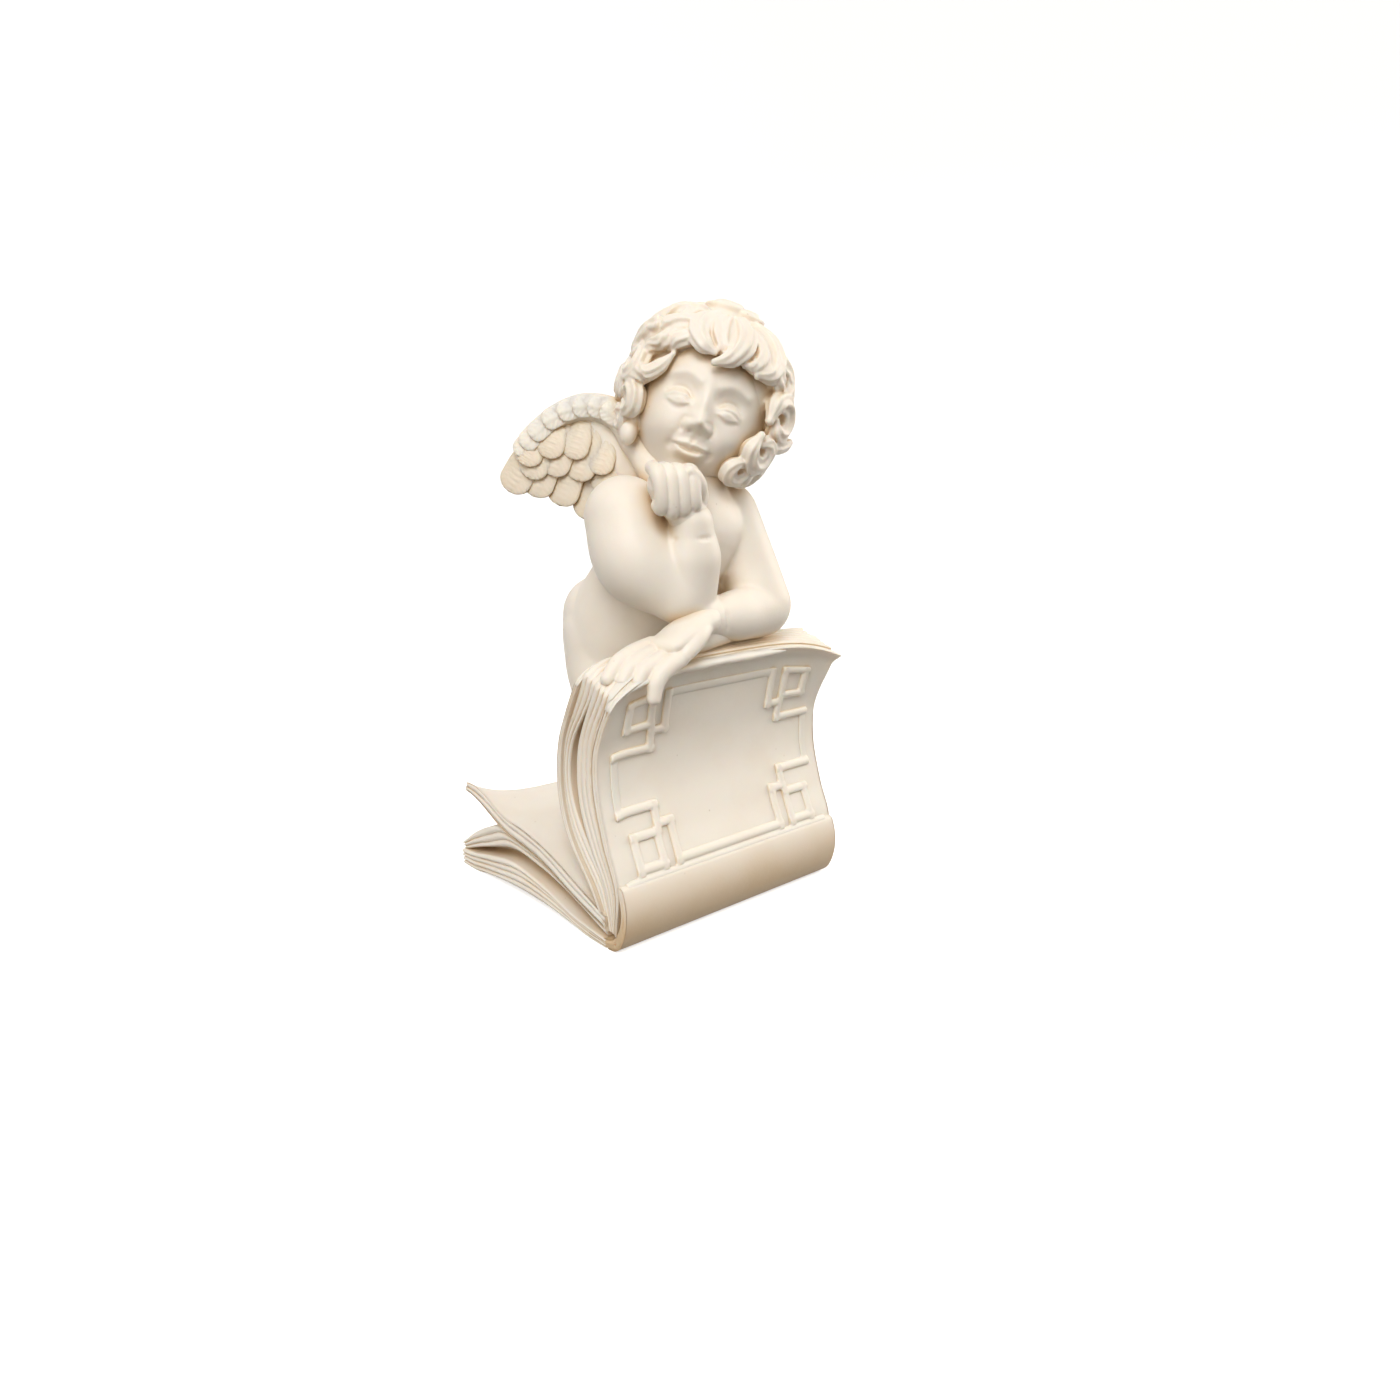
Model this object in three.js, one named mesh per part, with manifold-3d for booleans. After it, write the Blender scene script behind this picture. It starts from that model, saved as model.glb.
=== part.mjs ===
// Cherub leaning on a half-open book, a small figurine cast in one piece.
// Millimetres, +Z up. X runs along the book's spine, Y from the spine towards the fore edge of the lying half.
// One half of the book stands up and curls forward, the other lies flat, and the cherub stands on the lying
// half behind the upright one, with one forearm along its top edge and the other fist under the chin.
import * as THREE from "three";
import { mergeVertices } from "three/addons/utils/BufferGeometryUtils.js";
import Module from "manifold-3d";

const wasm = await Module();
wasm.setup();

// The book
const bookWidth = 59.5; // along the spine
const leafLength = 58.6; // from the spine to the fore edge
const blockThickness = 13.6; // the upright half at its thickest
const spineBulge = 2.6; // how far the round spine stands in front of its axis
const pocketDepth = 2.4; // hollow at each end of the spine, between cover and leaves
const coreInset = 5; // how deep the open gaps between leaf bundles go in from each side
const leafStep = 0.5; // how far one leaf bundle stands out past the next
const topCurl = [2.4, 3.6]; // the upright half's top corners, forward and down
const underside = -0.6; // the flat the figurine stands on
const foreCurl = 5.2; // the lying half's fore-edge corners, up
const curlReach = 4; // power of the curl towards the side: higher keeps it nearer the corner

// The carved border on the upright half
const lineWidth = 1.0;
const lineHeight = 0.7;
const borderMargin = 3.95; // from the page's side edges to the lines along them
const borderFoot = 15; // the line along the foot of the page, above the table
const borderHead = 6.4; // the line along its head, below the page's top edge
const footGap = 1.9; // a second line runs this far below it
const cornerAcross = 11.6; // how far each corner's steps reach in from the side line
const cornerUp = 10.8; // and up from the foot line
const ringHalf = 3.3; // half the square in each corner
const borderBend = 7; // longer lines are bent this often to follow the page

// The cherub, in shares of its size, which is about its height on the book in millimetres
const figureSize = 100;
const turn = -10; // which way the body faces, in degrees about Z
const headTurn = -37;
const headTilt = 19; // the crown leans towards the cherub's left
const headLift = 6; // the face looks up a little
const skull = [13.2, 14.6, 16.4]; // half width, half depth, half height
const hairRise = 1.8; // how far the mass of hair stands off the skull
const lockRadii = [0.22, 0.46, 0.52, 0.46, 0.3]; // a lock's thickness along it, as shares of its size
const lockWind = 1.15; // how far a lock turns from one of them to the next, in radians
const hairRows = [[-24, 5, 118, 4.8], [2, 6, 96, 5], [28, 7, 72, 5.2], [53, 7, 0, 5.2], [80, 3, 60, 4.8]];
const wingRoot = [-0.4, 15, 33, 3.8]; // where the wings join the back, and half the space between them
const rightSweep = 35; // how far back the right wing is swept, in degrees
const leftSweep = 50;

const mostTriangles = 9700;
const roundSides = 10;
const smallSides = 6;
const thinnest = 2e-3; // twice the area of the smallest triangle that counts
const apart = 0.005; // corners nearer than this would be taken for one

// A mesh as a manifold solid, its faces turned out
function solid(geometry) {
  const bare = new THREE.BufferGeometry().setAttribute("position", geometry.getAttribute("position"));
  if (geometry.index) bare.setIndex(geometry.index);
  const merged = mergeVertices(bare, 1e-4);
  const triVerts = new Uint32Array(merged.index.array);
  const vertProperties = merged.attributes.position.array;
  const make = () => new wasm.Manifold(new wasm.Mesh({ numProp: 3, vertProperties, triVerts }));
  const made = make();
  if (made.volume() > 0) return made;
  for (let i = 0; i < triVerts.length; i += 3) [triVerts[i], triVerts[i + 1]] = [triVerts[i + 1], triVerts[i]];
  return make();
}

// All solids joined into one
function join(solids) {
  let rest = solids;
  while (rest.length > 1) {
    const next = [];
    for (let i = 0; i < rest.length; i += 2) next.push(rest[i + 1] ? rest[i].add(rest[i + 1]) : rest[i]);
    rest = next;
  }
  return rest[0];
}

// The mesh of a solid with its least telling edges drawn together until few enough triangles are left
function meshOf(made, most) {
  const { vertProperties, triVerts } = made.getMesh();
  const spots = [];
  for (let i = 0; i < vertProperties.length; i += 3)
    spots.push(new THREE.Vector3().fromArray(vertProperties, i));
  let faces = [];
  for (let i = 0; i < triVerts.length; i += 3) faces.push([triVerts[i], triVerts[i + 1], triVerts[i + 2]]);
  const across = (a, b, c) => b.clone().sub(a).cross(c.clone().sub(a));
  // The sum of squared distances from a spot to the planes around it, each weighed by its area
  const planes = spots.map(() => new Array(10).fill(0));
  for (const face of faces) {
    const [a, b, c] = face.map((k) => spots[k]);
    const normal = across(a, b, c);
    const area = normal.length() / 2;
    normal.normalize();
    const plane = [normal.x, normal.y, normal.z, -normal.dot(a)];
    for (const k of face) {
      let n = 0;
      for (let i = 0; i < 4; i++)
        for (let j = i; j < 4; j++) planes[k][n++] += area * plane[i] * plane[j];
    }
  }
  const error = (q, { x, y, z }) =>
    q[0] * x * x + q[4] * y * y + q[7] * z * z + q[9] +
    2 * (q[1] * x * y + q[2] * x * z + q[3] * x + q[5] * y * z + q[6] * y + q[8] * z);
  const mostPasses = 60;
  for (let pass = 0; pass < mostPasses && faces.length > most; pass++) {
    const around = spots.map(() => []);
    for (const face of faces) for (const k of face) around[k].push(face);
    const edges = [];
    for (const face of faces)
      for (let i = 0; i < 3; i++) {
        const [a, b] = [face[i], face[(i + 1) % 3]];
        if (a > b) continue;
        const sum = planes[a].map((v, k) => v + planes[b][k]);
        const choices = [spots[a], spots[b], spots[a].clone().lerp(spots[b], 0.5)];
        const costs = choices.map((spot) => Math.abs(error(sum, spot)));
        const best = costs.indexOf(Math.min(...costs));
        const short = 1e-4 * spots[a].distanceToSquared(spots[b]);
        edges.push({ a, b, sum, spot: choices[best], cost: costs[best] + short });
      }
    edges.sort((one, other) => one.cost - other.cost);
    const touched = new Set();
    let left = faces.length;
    const limit = edges[Math.floor(edges.length * 0.2)].cost;
    for (const { a, b, sum, spot, cost } of edges) {
      if (left <= most || cost > limit) break;
      if (touched.has(a) || touched.has(b)) continue;
      const near = (k) => new Set(around[k].flat().filter((v) => v !== k));
      const [nearA, nearB] = [near(a), near(b)];
      if ([...nearA].filter((v) => nearB.has(v)).length !== 2) continue;
      const keeps = (from, other) =>
        around[from].every((face) => {
          if (face.includes(other)) return true;
          const before = across(...face.map((k) => spots[k]));
          const after = across(...face.map((k) => (k === from ? spot : spots[k])));
          if (before.length() < thinnest) return true;
          return after.dot(before) > 0.2 * after.length() * before.length() && after.length() > thinnest;
        });
      if (!keeps(a, b) || !keeps(b, a)) continue;
      spots[a] = spot.clone();
      planes[a] = sum;
      for (const face of around[b])
        if (face.includes(a)) face.dead = true;
        else face[face.indexOf(b)] = a;
      for (const v of [...nearA, ...nearB]) touched.add(v);
      left -= 2;
    }
    faces = faces.filter((face) => !face.dead);
  }
  // Corners that meet only at a point are drawn a hair apart, each towards its own neighbours
  const taken = new Map();
  for (const k of new Set(faces.flat())) {
    const key = spots[k].toArray().map((v) => Math.round(v / apart)).join();
    if (taken.has(key)) {
      const ends = faces.filter((face) => face.includes(k)).flat().filter((v) => v !== k);
      const mean = ends.reduce((sum, v) => sum.add(spots[v]), new THREE.Vector3()).divideScalar(ends.length);
      spots[k].lerp(mean, 0.05);
    } else taken.set(key, k);
  }
  return new THREE.BufferGeometry().setFromPoints(spots).setIndex(faces.flat());
}

// A curve in the YZ plane through points given as shares of the leaf length
function profile(...points) {
  return new THREE.CatmullRomCurve3(
    points.map(([y, z]) => new THREE.Vector3(0, y, z).multiplyScalar(leafLength)),
    false,
    "centripetal",
  );
}

const lerp = THREE.MathUtils.lerp;
const smooth = (t, low, high) => THREE.MathUtils.smoothstep(t, low, high);
const radians = THREE.MathUtils.degToRad;

// A closed sheet between two faces, each a function of x and t. It runs from low to high in x and in t.
function sheet(front, back, x, t, across, along) {
  const points = [];
  const faces = [];
  const row = along + 1;
  const side = (across + 1) * row;
  for (const face of [front, back])
    for (let i = 0; i <= across; i++)
      for (let j = 0; j <= along; j++) {
        const share = Math.sin((i / across - 0.5) * Math.PI) / 2 + 0.5;
        points.push(...face(lerp(x[0], x[1], share), lerp(t[0], t[1], j / along)).toArray());
      }
  const quad = (a, b, c, d) => faces.push(a, b, c, a, c, d);
  for (let i = 0; i < across; i++)
    for (let j = 0; j < along; j++) {
      const a = i * row + j;
      quad(a, a + row, a + row + 1, a + 1);
      quad(side + a, side + a + 1, side + a + row + 1, side + a + row);
    }
  for (let i = 0; i < across; i++)
    for (const [a, b] of [[i * row, (i + 1) * row], [(i + 1) * row + along, i * row + along]])
      quad(a, side + a, side + b, b);
  for (let j = 0; j < along; j++)
    for (const [a, b] of [[j + 1, j], [across * row + j, across * row + j + 1]]) quad(a, side + a, side + b, b);
  return solid(
    new THREE.BufferGeometry()
      .setAttribute("position", new THREE.Float32BufferAttribute(points, 3))
      .setIndex(faces),
  );
}

// The upright half: its front and back faces, and any face between them at a share of its depth
const panelCurve = profile(
  [0.0, 0.05], [-0.014, 0.22], [0.036, 0.355], [0.076, 0.5], [0.081, 0.62], [0.064, 0.73], [0.044, 0.83],
  [0.02, 0.925],
);
const backCurve = profile(
  [0.06, 0.05], [0.13, 0.16], [0.235, 0.28], [0.29, 0.37], [0.318, 0.5], [0.303, 0.645], [0.257, 0.757],
  [0.205, 0.86], [0.16, 0.955],
);
const deepest = backCurve.getPoint(0.5).y - panelCurve.getPoint(0.5).y;
const halfWidth = bookWidth / 2;

function upright(share) {
  return (x, t) => {
    const front = panelCurve.getPoint(t);
    const back = backCurve.getPoint(t);
    back.y = front.y + (back.y - front.y) * (blockThickness / deepest);
    const deep = typeof share === "function" ? share(t) : share;
    const point = front.lerp(back, deep);
    const curl = Math.abs(x / halfWidth) ** curlReach * smooth(t, 0.55, 1) * (1 - deep * 0.9);
    return point.add(new THREE.Vector3(x, -topCurl[0] * curl, -topCurl[1] * curl));
  };
}

const gap = (t) => 0.17 * Math.sin(Math.PI * smooth(t, 0.15, 0.95));

function uprightHalf() {
  const reach = (inset) => [-halfWidth + inset, halfWidth - inset];
  return [
    sheet(upright(0), upright(0.13), reach(0), [0, 0.985], 8, 12),
    sheet(upright(0.11), upright(0.5), reach(leafStep), [0, 1], 4, 8),
    sheet(upright((t) => 0.49 + gap(t)), upright(0.93), reach(leafStep * 1.4), [0, 0.99], 4, 8),
    sheet(upright(0.9), upright(1), reach(0), [0, 0.975], 4, 9),
    sheet(upright(0.4), upright(0.75), reach(coreInset), [0, 0.975], 1, 8),
  ];
}

// The lying half: leaf bundles between a lower and an upper face
const topFace = profile(
  [0.06, 0.1], [0.23, 0.164], [0.38, 0.219], [0.54, 0.255], [0.69, 0.27], [0.81, 0.272], [0.94, 0.257],
);
const topUnder = profile(
  [0.06, 0.06], [0.215, 0.104], [0.43, 0.174], [0.63, 0.21], [0.79, 0.219], [0.955, 0.22],
);
const secondFace = profile(
  [0.06, 0.08], [0.22, 0.13], [0.45, 0.195], [0.69, 0.222], [0.79, 0.203], [0.91, 0.147], [1.02, 0.075],
);
const secondUnder = profile(
  [0.06, 0.03], [0.275, 0.102], [0.46, 0.143], [0.63, 0.16], [0.81, 0.114], [1.0, 0.05],
);
const thirdFace = profile(
  [0.06, 0.02], [0.25, 0.04], [0.435, 0.086], [0.635, 0.109], [0.78, 0.089], [0.92, 0.06], [1.01, 0.05],
);
const land = underside / leafLength;
const thirdUnder = profile(
  [0.06, land], [0.16, land], [0.24, 0], [0.41, 0.016], [0.64, 0.018], [0.84, 0], [0.9, land], [1.0, land],
);

function lying(curve, lift = 0) {
  return (x, t) => {
    const curl = Math.abs(x / halfWidth) ** curlReach * smooth(t, 0.6, 1);
    const point = curve.getPoint(t).add(new THREE.Vector3(x, 0, lift * foreCurl * curl));
    point.z = Math.max(point.z, underside);
    return point;
  };
}

function lyingHalf() {
  const reach = (inset) => [-halfWidth + inset, halfWidth - inset];
  return [
    sheet(lying(topUnder, 1), lying(topFace, 1), reach(0), [0, 1], 8, 7),
    sheet(lying(secondUnder), lying(secondFace), reach(leafStep), [0, 1], 1, 8),
    sheet(lying(thirdUnder), lying(thirdFace), reach(0), [0, 1], 1, 8),
    sheet(lying(thirdUnder), lying(secondFace), reach(coreInset), [0, 0.93], 1, 8),
  ];
}

// The round spine that joins the two halves, with a hollow at each end between cover and leaves
function spine() {
  const hinge = panelCurve.getPoint(1 / 7);
  const outline = new THREE.Shape();
  outline.moveTo(leafLength * 0.16, underside);
  outline.lineTo(-0.3, underside);
  const top = [hinge.y - 0.5, hinge.z + 0.4];
  outline.bezierCurveTo(-spineBulge, underside + 0.5, -spineBulge * 1.15, hinge.z * 0.55, ...top);
  outline.lineTo(hinge.y + 1.6, hinge.z + 0.4);
  outline.lineTo(leafLength * 0.1, leafLength * 0.13);
  const hollow = new THREE.Shape();
  hollow.moveTo(hinge.y + 1.1, hinge.z * 0.86);
  hollow.lineTo(2.7, hinge.z * 0.48);
  hollow.lineTo(4.6, 2.2);
  hollow.lineTo(0.9, 1.9);
  hollow.quadraticCurveTo(-spineBulge * 0.5, hinge.z * 0.4, hinge.y + 1.1, hinge.z * 0.86);
  // An outline in y and z, extruded along x
  const along = (shape, length, start) => {
    const made = new THREE.ExtrudeGeometry(shape, { depth: length, bevelEnabled: false, curveSegments: 8 });
    made.applyMatrix4(new THREE.Matrix4().makeBasis(
      new THREE.Vector3(0, 1, 0), new THREE.Vector3(0, 0, 1), new THREE.Vector3(1, 0, 0)));
    return solid(made.translate(start, 0, 0));
  };
  const pockets = [-halfWidth - 1, halfWidth - pocketDepth].map((x) => along(hollow, pocketDepth + 1, x));
  return { body: along(outline, bookWidth, -halfWidth), pockets };
}

// Where on the upright page's face a height above the table is, from 0 at its foot to 1 at its top
const panelT = (z) => {
  let [low, high] = [0, 1];
  for (let i = 0; i < 30; i++) {
    const middle = (low + high) / 2;
    if (panelCurve.getPoint(middle).z < z) low = middle;
    else high = middle;
  }
  return low;
};

// A raised band on the page through corners [x, height above the table], open or closed into a ring
function band(corners, closed = false) {
  const face = upright(0);
  const count = corners.length;
  const half = lineWidth / 2;
  const points = [];
  corners.forEach(([x, z], i) => {
    const before = corners[closed ? (i + count - 1) % count : Math.max(i - 1, 0)];
    const after = corners[closed ? (i + 1) % count : Math.min(i + 1, count - 1)];
    const into = new THREE.Vector2(x - before[0], z - before[1]).normalize();
    const on = new THREE.Vector2(after[0] - x, after[1] - z).normalize();
    const [first, last] = [into.length() === 0, on.length() === 0];
    const [enter, leave] = [first ? on : into, last ? into : on];
    const miter = new THREE.Vector2(-enter.y - leave.y, enter.x + leave.x).normalize();
    const reach = half / Math.max(0.4, miter.dot(new THREE.Vector2(-enter.y, enter.x)));
    for (const [side, depth] of [[-1, 1], [1, 1], [0.6, -1], [-0.6, -1]]) {
      const px = x + side * miter.x * reach;
      const spot = face(px, panelT(z + side * miter.y * reach));
      points.push(spot.x, spot.y + depth * lineHeight, spot.z);
    }
  });
  const faces = [];
  for (let i = 0; i < (closed ? count : count - 1); i++)
    for (let k = 0; k < 4; k++) {
      const [a, b] = [4 * i + k, 4 * i + ((k + 1) % 4)];
      const [c, d] = [4 * ((i + 1) % count) + ((k + 1) % 4), 4 * ((i + 1) % count) + k];
      faces.push(a, b, c, a, c, d);
    }
  const end = 4 * count - 4;
  if (!closed) faces.push(0, 2, 1, 0, 3, 2, end, end + 1, end + 2, end, end + 2, end + 3);
  return solid(
    new THREE.BufferGeometry()
      .setAttribute("position", new THREE.Float32BufferAttribute(points, 3))
      .setIndex(faces),
  );
}

// A stepped frame with a square in each corner, and a plain line at its foot and its head
function border() {
  const middle = (panelCurve.getPoint(1).z - borderHead + borderFoot) / 2;
  const sideLine = halfWidth - borderMargin;
  // A corner given from the side line inward and from the foot line up, mirrored to one of the four corners
  const placed = ([across, up], side, end) => {
    const z = borderFoot + up;
    return [side * (sideLine - across), end > 0 ? z : 2 * middle - z];
  };
  const bend = (corners, closed) => {
    const bent = [];
    corners.forEach((from, i) => {
      if (i === corners.length - 1 && !closed) return bent.push(from);
      const to = corners[(i + 1) % corners.length];
      const parts = Math.ceil(Math.hypot(to[0] - from[0], to[1] - from[1]) / borderBend);
      for (let k = 0; k < parts; k++) bent.push(from.map((v, n) => lerp(v, to[n], k / parts)));
    });
    return band(bent, closed);
  };
  const rise = cornerUp * 0.67;
  const shelf = cornerAcross * 0.72;
  const steps = [[cornerAcross, 0], [cornerAcross, rise], [shelf, rise], [shelf, cornerUp], [0, cornerUp]];
  const square = [[-1, -1], [1, -1], [1, 1], [-1, 1]];
  const squareAt = [cornerAcross * 0.42, cornerUp * 0.25];
  const frame = [
    ...steps.map((p) => placed(p, 1, 1)), ...steps.map((p) => placed(p, 1, -1)).reverse(),
    ...steps.map((p) => placed(p, -1, -1)), ...steps.map((p) => placed(p, -1, 1)).reverse(),
  ];
  const bands = [bend(frame, true)];
  for (const end of [1, -1]) {
    bands.push(bend([-1, 1].map((side) => placed([-footGap * 0.7, -footGap], side, end)), false));
    for (const side of [-1, 1]) {
      const corner = ([i, j]) => placed([squareAt[0] + i * ringHalf, squareAt[1] + j * ringHalf], side, end);
      bands.push(band(square.map(corner), true));
    }
  }
  return bands;
}

// The cherub's points are measured from the middle of the upright half's top edge
const rest = new THREE.Vector3(0, leafLength * 0.09, leafLength * 0.918);
const unit = figureSize / 100;
const at = ([x, y, z]) => new THREE.Vector3(x, y, z).multiplyScalar(unit).add(rest);
const bodyTurn = new THREE.Matrix4().makeRotationZ(radians(turn));
const leftward = new THREE.Vector3(1, 0, 0).transformDirection(bodyTurn);
const backward = new THREE.Vector3(0, 1, 0).transformDirection(bodyTurn);

// A rounded limb through stations [x, y, z, radius] or [x, y, z, across, deep], measured by the function place
function limb(stations, { sides = roundSides, steps = 2, wide = leftward, place = at, caps = 2 } = {}) {
  const centres = stations.map(place);
  const path = new THREE.CatmullRomCurve3(centres, false, "centripetal");
  const radius = (t, k) => {
    const f = t * (stations.length - 1);
    const i = Math.min(Math.floor(f), stations.length - 2);
    const r = (n) => (stations[n][k] ?? stations[n][3]) * unit;
    return lerp(r(i), r(i + 1), smooth(f - i, 0, 1));
  };
  const rings = [];
  const ring = (t, scale, push) => {
    const ahead = path.getTangent(t);
    const u = wide.clone().addScaledVector(ahead, -wide.dot(ahead)).normalize();
    const v = ahead.clone().cross(u);
    const [ru, rv] = [radius(t, 3), radius(t, 4)];
    const centre = path.getPoint(t).addScaledVector(ahead, push * Math.min(ru, rv));
    rings.push(
      Array.from({ length: sides }, (_, k) => {
        const a = (2 * Math.PI * k) / sides;
        return centre.clone()
          .addScaledVector(u, Math.cos(a) * ru * scale)
          .addScaledVector(v, Math.sin(a) * rv * scale);
      }),
    );
    return centre;
  };
  const pole = (t, sign) => {
    const far = sign * Math.min(radius(t, 3), radius(t, 4));
    return path.getPoint(t).addScaledVector(path.getTangent(t), far);
  };
  for (let c = 1; c < caps; c++) {
    const a = (c / caps) * (Math.PI / 2);
    ring(0, Math.sin(a), -Math.cos(a));
  }
  const count = (stations.length - 1) * steps;
  for (let i = 0; i <= count; i++) ring(i / count, 1, 0);
  for (let c = caps - 1; c > 0; c--) {
    const a = (c / caps) * (Math.PI / 2);
    ring(1, Math.sin(a), Math.cos(a));
  }
  const points = [pole(0, -1), ...rings.flat(), pole(1, 1)];
  const last = points.length - 1;
  const faces = [];
  for (let k = 0; k < sides; k++) {
    const n = (k + 1) % sides;
    faces.push(0, 1 + n, 1 + k);
    for (let r = 0; r < rings.length - 1; r++) {
      const [a, b] = [1 + r * sides + k, 1 + r * sides + n];
      faces.push(a, b, b + sides, a, b + sides, a + sides);
    }
    const top = 1 + (rings.length - 1) * sides;
    faces.push(top + k, top + n, last);
  }
  return solid(new THREE.BufferGeometry().setFromPoints(points).setIndex(faces));
}

// A ball with its own half sizes, turned to a frame and placed in it
function ball([x, y, z], [rx, ry, rz], frame, detail = [12, 8]) {
  const made = new THREE.SphereGeometry(1, ...detail).scale(rx, ry, rz);
  made.translate(x, y, z).scale(unit, unit, unit).applyMatrix4(frame);
  return solid(made);
}

function torso() {
  return [
    limb([
      [-3.5, 22.8, -5, 10.5, 9], [-4.2, 21.4, 3, 12.6, 11.4], [-3.8, 14, 14, 12.2, 10.8],
      [0, 9, 24.4, 13.2, 10.8], [0.4, 8, 32, 8.6, 7.2], [2, 7.4, 37, 5.6, 5.6], [3.6, 7.6, 42, 5.6, 5.6],
    ], { sides: 12 }),
    limb([[-9.2, 25.4, 1.5, 8.2], [-9.2, 25, 5.4, 8.2]], { steps: 1 }),
    limb([[2.6, 24.6, 1.5, 8.2], [2.6, 24.4, 5.4, 8.2]], { steps: 1 }),
  ];
}

// The legs stand on the lying half, so their length follows from its upper face
function legs() {
  const floor = (topFace.getPoint(0.52).z - rest.z) / unit + 1.6;
  const [knee, calf] = [lerp(-3, floor, 0.48), lerp(-3, floor, 0.72)];
  return [-10.4, 3.8].flatMap((x) => [
    limb(
      [
        [x, 24, 2, 8], [x, 23.5, -5, 7.8], [x - 0.6, 19.5, knee, 6.4], [x - 0.2, 23, calf, 5.6],
        [x, 25, floor + 2, 4],
      ],
      { sides: 8, steps: 1 },
    ),
    limb(
      [[x, 26.8, floor + 0.3, 3.6], [x, 20, floor - 0.2, 3.8, 2.7], [x, 14.5, floor - 0.6, 3.2, 2]],
      { sides: smallSides, steps: 1 },
    ),
  ]);
}

function arms() {
  return [
    limb([[-13.6, 10.6, 26.2, 8], [-13.6, 7, 18.4, 8.4], [-7.6, 1.6, 12.6, 6.8]]),
    limb([[-6.8, 1.2, 12.2, 6.4], [-6.6, -0.8, 18.5, 5.7], [-7.2, -1.6, 25.4, 4.1]]),
    limb([[9.6, 7, 26, 6.6], [12, 4.2, 17, 6.5], [13.4, 0.4, 7.8, 6.4]]),
    limb([[13.2, 0, 7.2, 6], [5, -1.4, 6.6, 5.2], [-4.6, -2.2, 7, 3.8]]),
  ];
}

// A finger through three joints, as a thin limb
function finger(knuckle, joint, tip, r) {
  const stations = [[...knuckle, r], [...joint, r * 0.95], [...tip, r * 0.8]];
  return limb(stations, { sides: smallSides, steps: 1, caps: 1 });
}

// The hand that lies over the page, and the fist under the chin
function hands() {
  const spread = [0, 1, 2, 3];
  return [
    limb([[-4.6, -2.4, 7.2, 3.9, 3.2], [-11, -3.2, 5.6, 4.8, 2.5], [-17, -3.4, 3.6, 4.6, 2]],
      { wide: new THREE.Vector3(0.3, 1, 0), sides: 8 }),
    ...spread.map((i) => finger(
      [-16.4 + i * 0.4, -0.2 - i * 2.2, 3.6 - i * 0.7], [-21 + i * 0.9, -0.6 - i * 2.2, 2.2 - i],
      [-25.8 + i * 2, -1.2 - i * 1.9, 0.2 - i * 1.2], 1.55,
    )),
    finger([-7.4, -5.4, 6], [-11, -7, 4], [-14.5, -7.4, 1.6], 1.6),
    limb([[-7.2, -1.4, 26, 4], [-9.6, -0.6, 30.2, 4.8, 4], [-11.4, -0.2, 32.8, 4.4, 3.6]], { sides: 8 }),
    ...spread.map((i) => finger(
      [-14.4 + i * 1.9, -1 - i * 1.2, 29.4 + i * 0.2], [-15 + i * 2, -1.6 - i * 1.3, 33 + i * 0.3],
      [-12.4 + i * 1.6, 1 - i, 34.8], 1.6,
    )),
  ];
}

// The head's own frame: x to its left, y to its back, z to its crown
const headFrame = new THREE.Matrix4()
  .makeTranslation(at([4.1, 8.6, 46.6]))
  .multiply(new THREE.Matrix4().makeRotationZ(radians(headTurn)))
  .multiply(new THREE.Matrix4().makeRotationX(radians(-headLift)))
  .multiply(new THREE.Matrix4().makeRotationY(radians(headTilt)));
const inHead = ([x, y, z]) => new THREE.Vector3(x, y, z).multiplyScalar(unit).applyMatrix4(headFrame);
const headSide = new THREE.Vector3(1, 0, 0).transformDirection(headFrame);

// Rises and dips of the face: across, up, width, height, how far out. Those off the middle are mirrored.
const faceBumps = [
  [0, 7, 9, 5, 0.5], [4.7, 2.8, 3.2, 1.3, 0.7], [4.7, -0.6, 2.6, 2.1, -1.5], [4.7, -1, 2, 1.2, 1.4],
  [0, -1.4, 1.5, 3.4, 1.4], [0, -5.3, 1.9, 1.6, 3], [1.9, -5.9, 1.1, 0.9, 1.1], [6.6, -7.4, 3.8, 3.6, 1.7],
  [0, -8.9, 2.4, 0.9, 1], [0, -9.8, 3, 0.5, -0.4], [0, -10.8, 2, 0.9, 1.1], [3.8, -9.7, 0.9, 1.2, -0.7],
  [0, -12.1, 2.6, 0.8, -0.5], [0, -14.2, 3.2, 1.9, 2.6],
];
// The face's grid, closer where the features are: shares of a half turn, and heights
const halfColumns = [0.025, 0.05, 0.08, 0.11, 0.14, 0.17, 0.205, 0.25, 0.3, 0.36];
const faceColumns = [...halfColumns.map((c) => -c).reverse(), 0, ...halfColumns];
const faceRows = [
  -15.8, -15, -13.8, -12.6, -11.9, -11.2, -10.6, -9.9, -9.4, -8.8, -8, -7, -6, -5, -4, -2.9, -2, -1.2, -0.4, 0.6,
  1.6, 2.8, 4.6, 7.4, 11,
];

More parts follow.
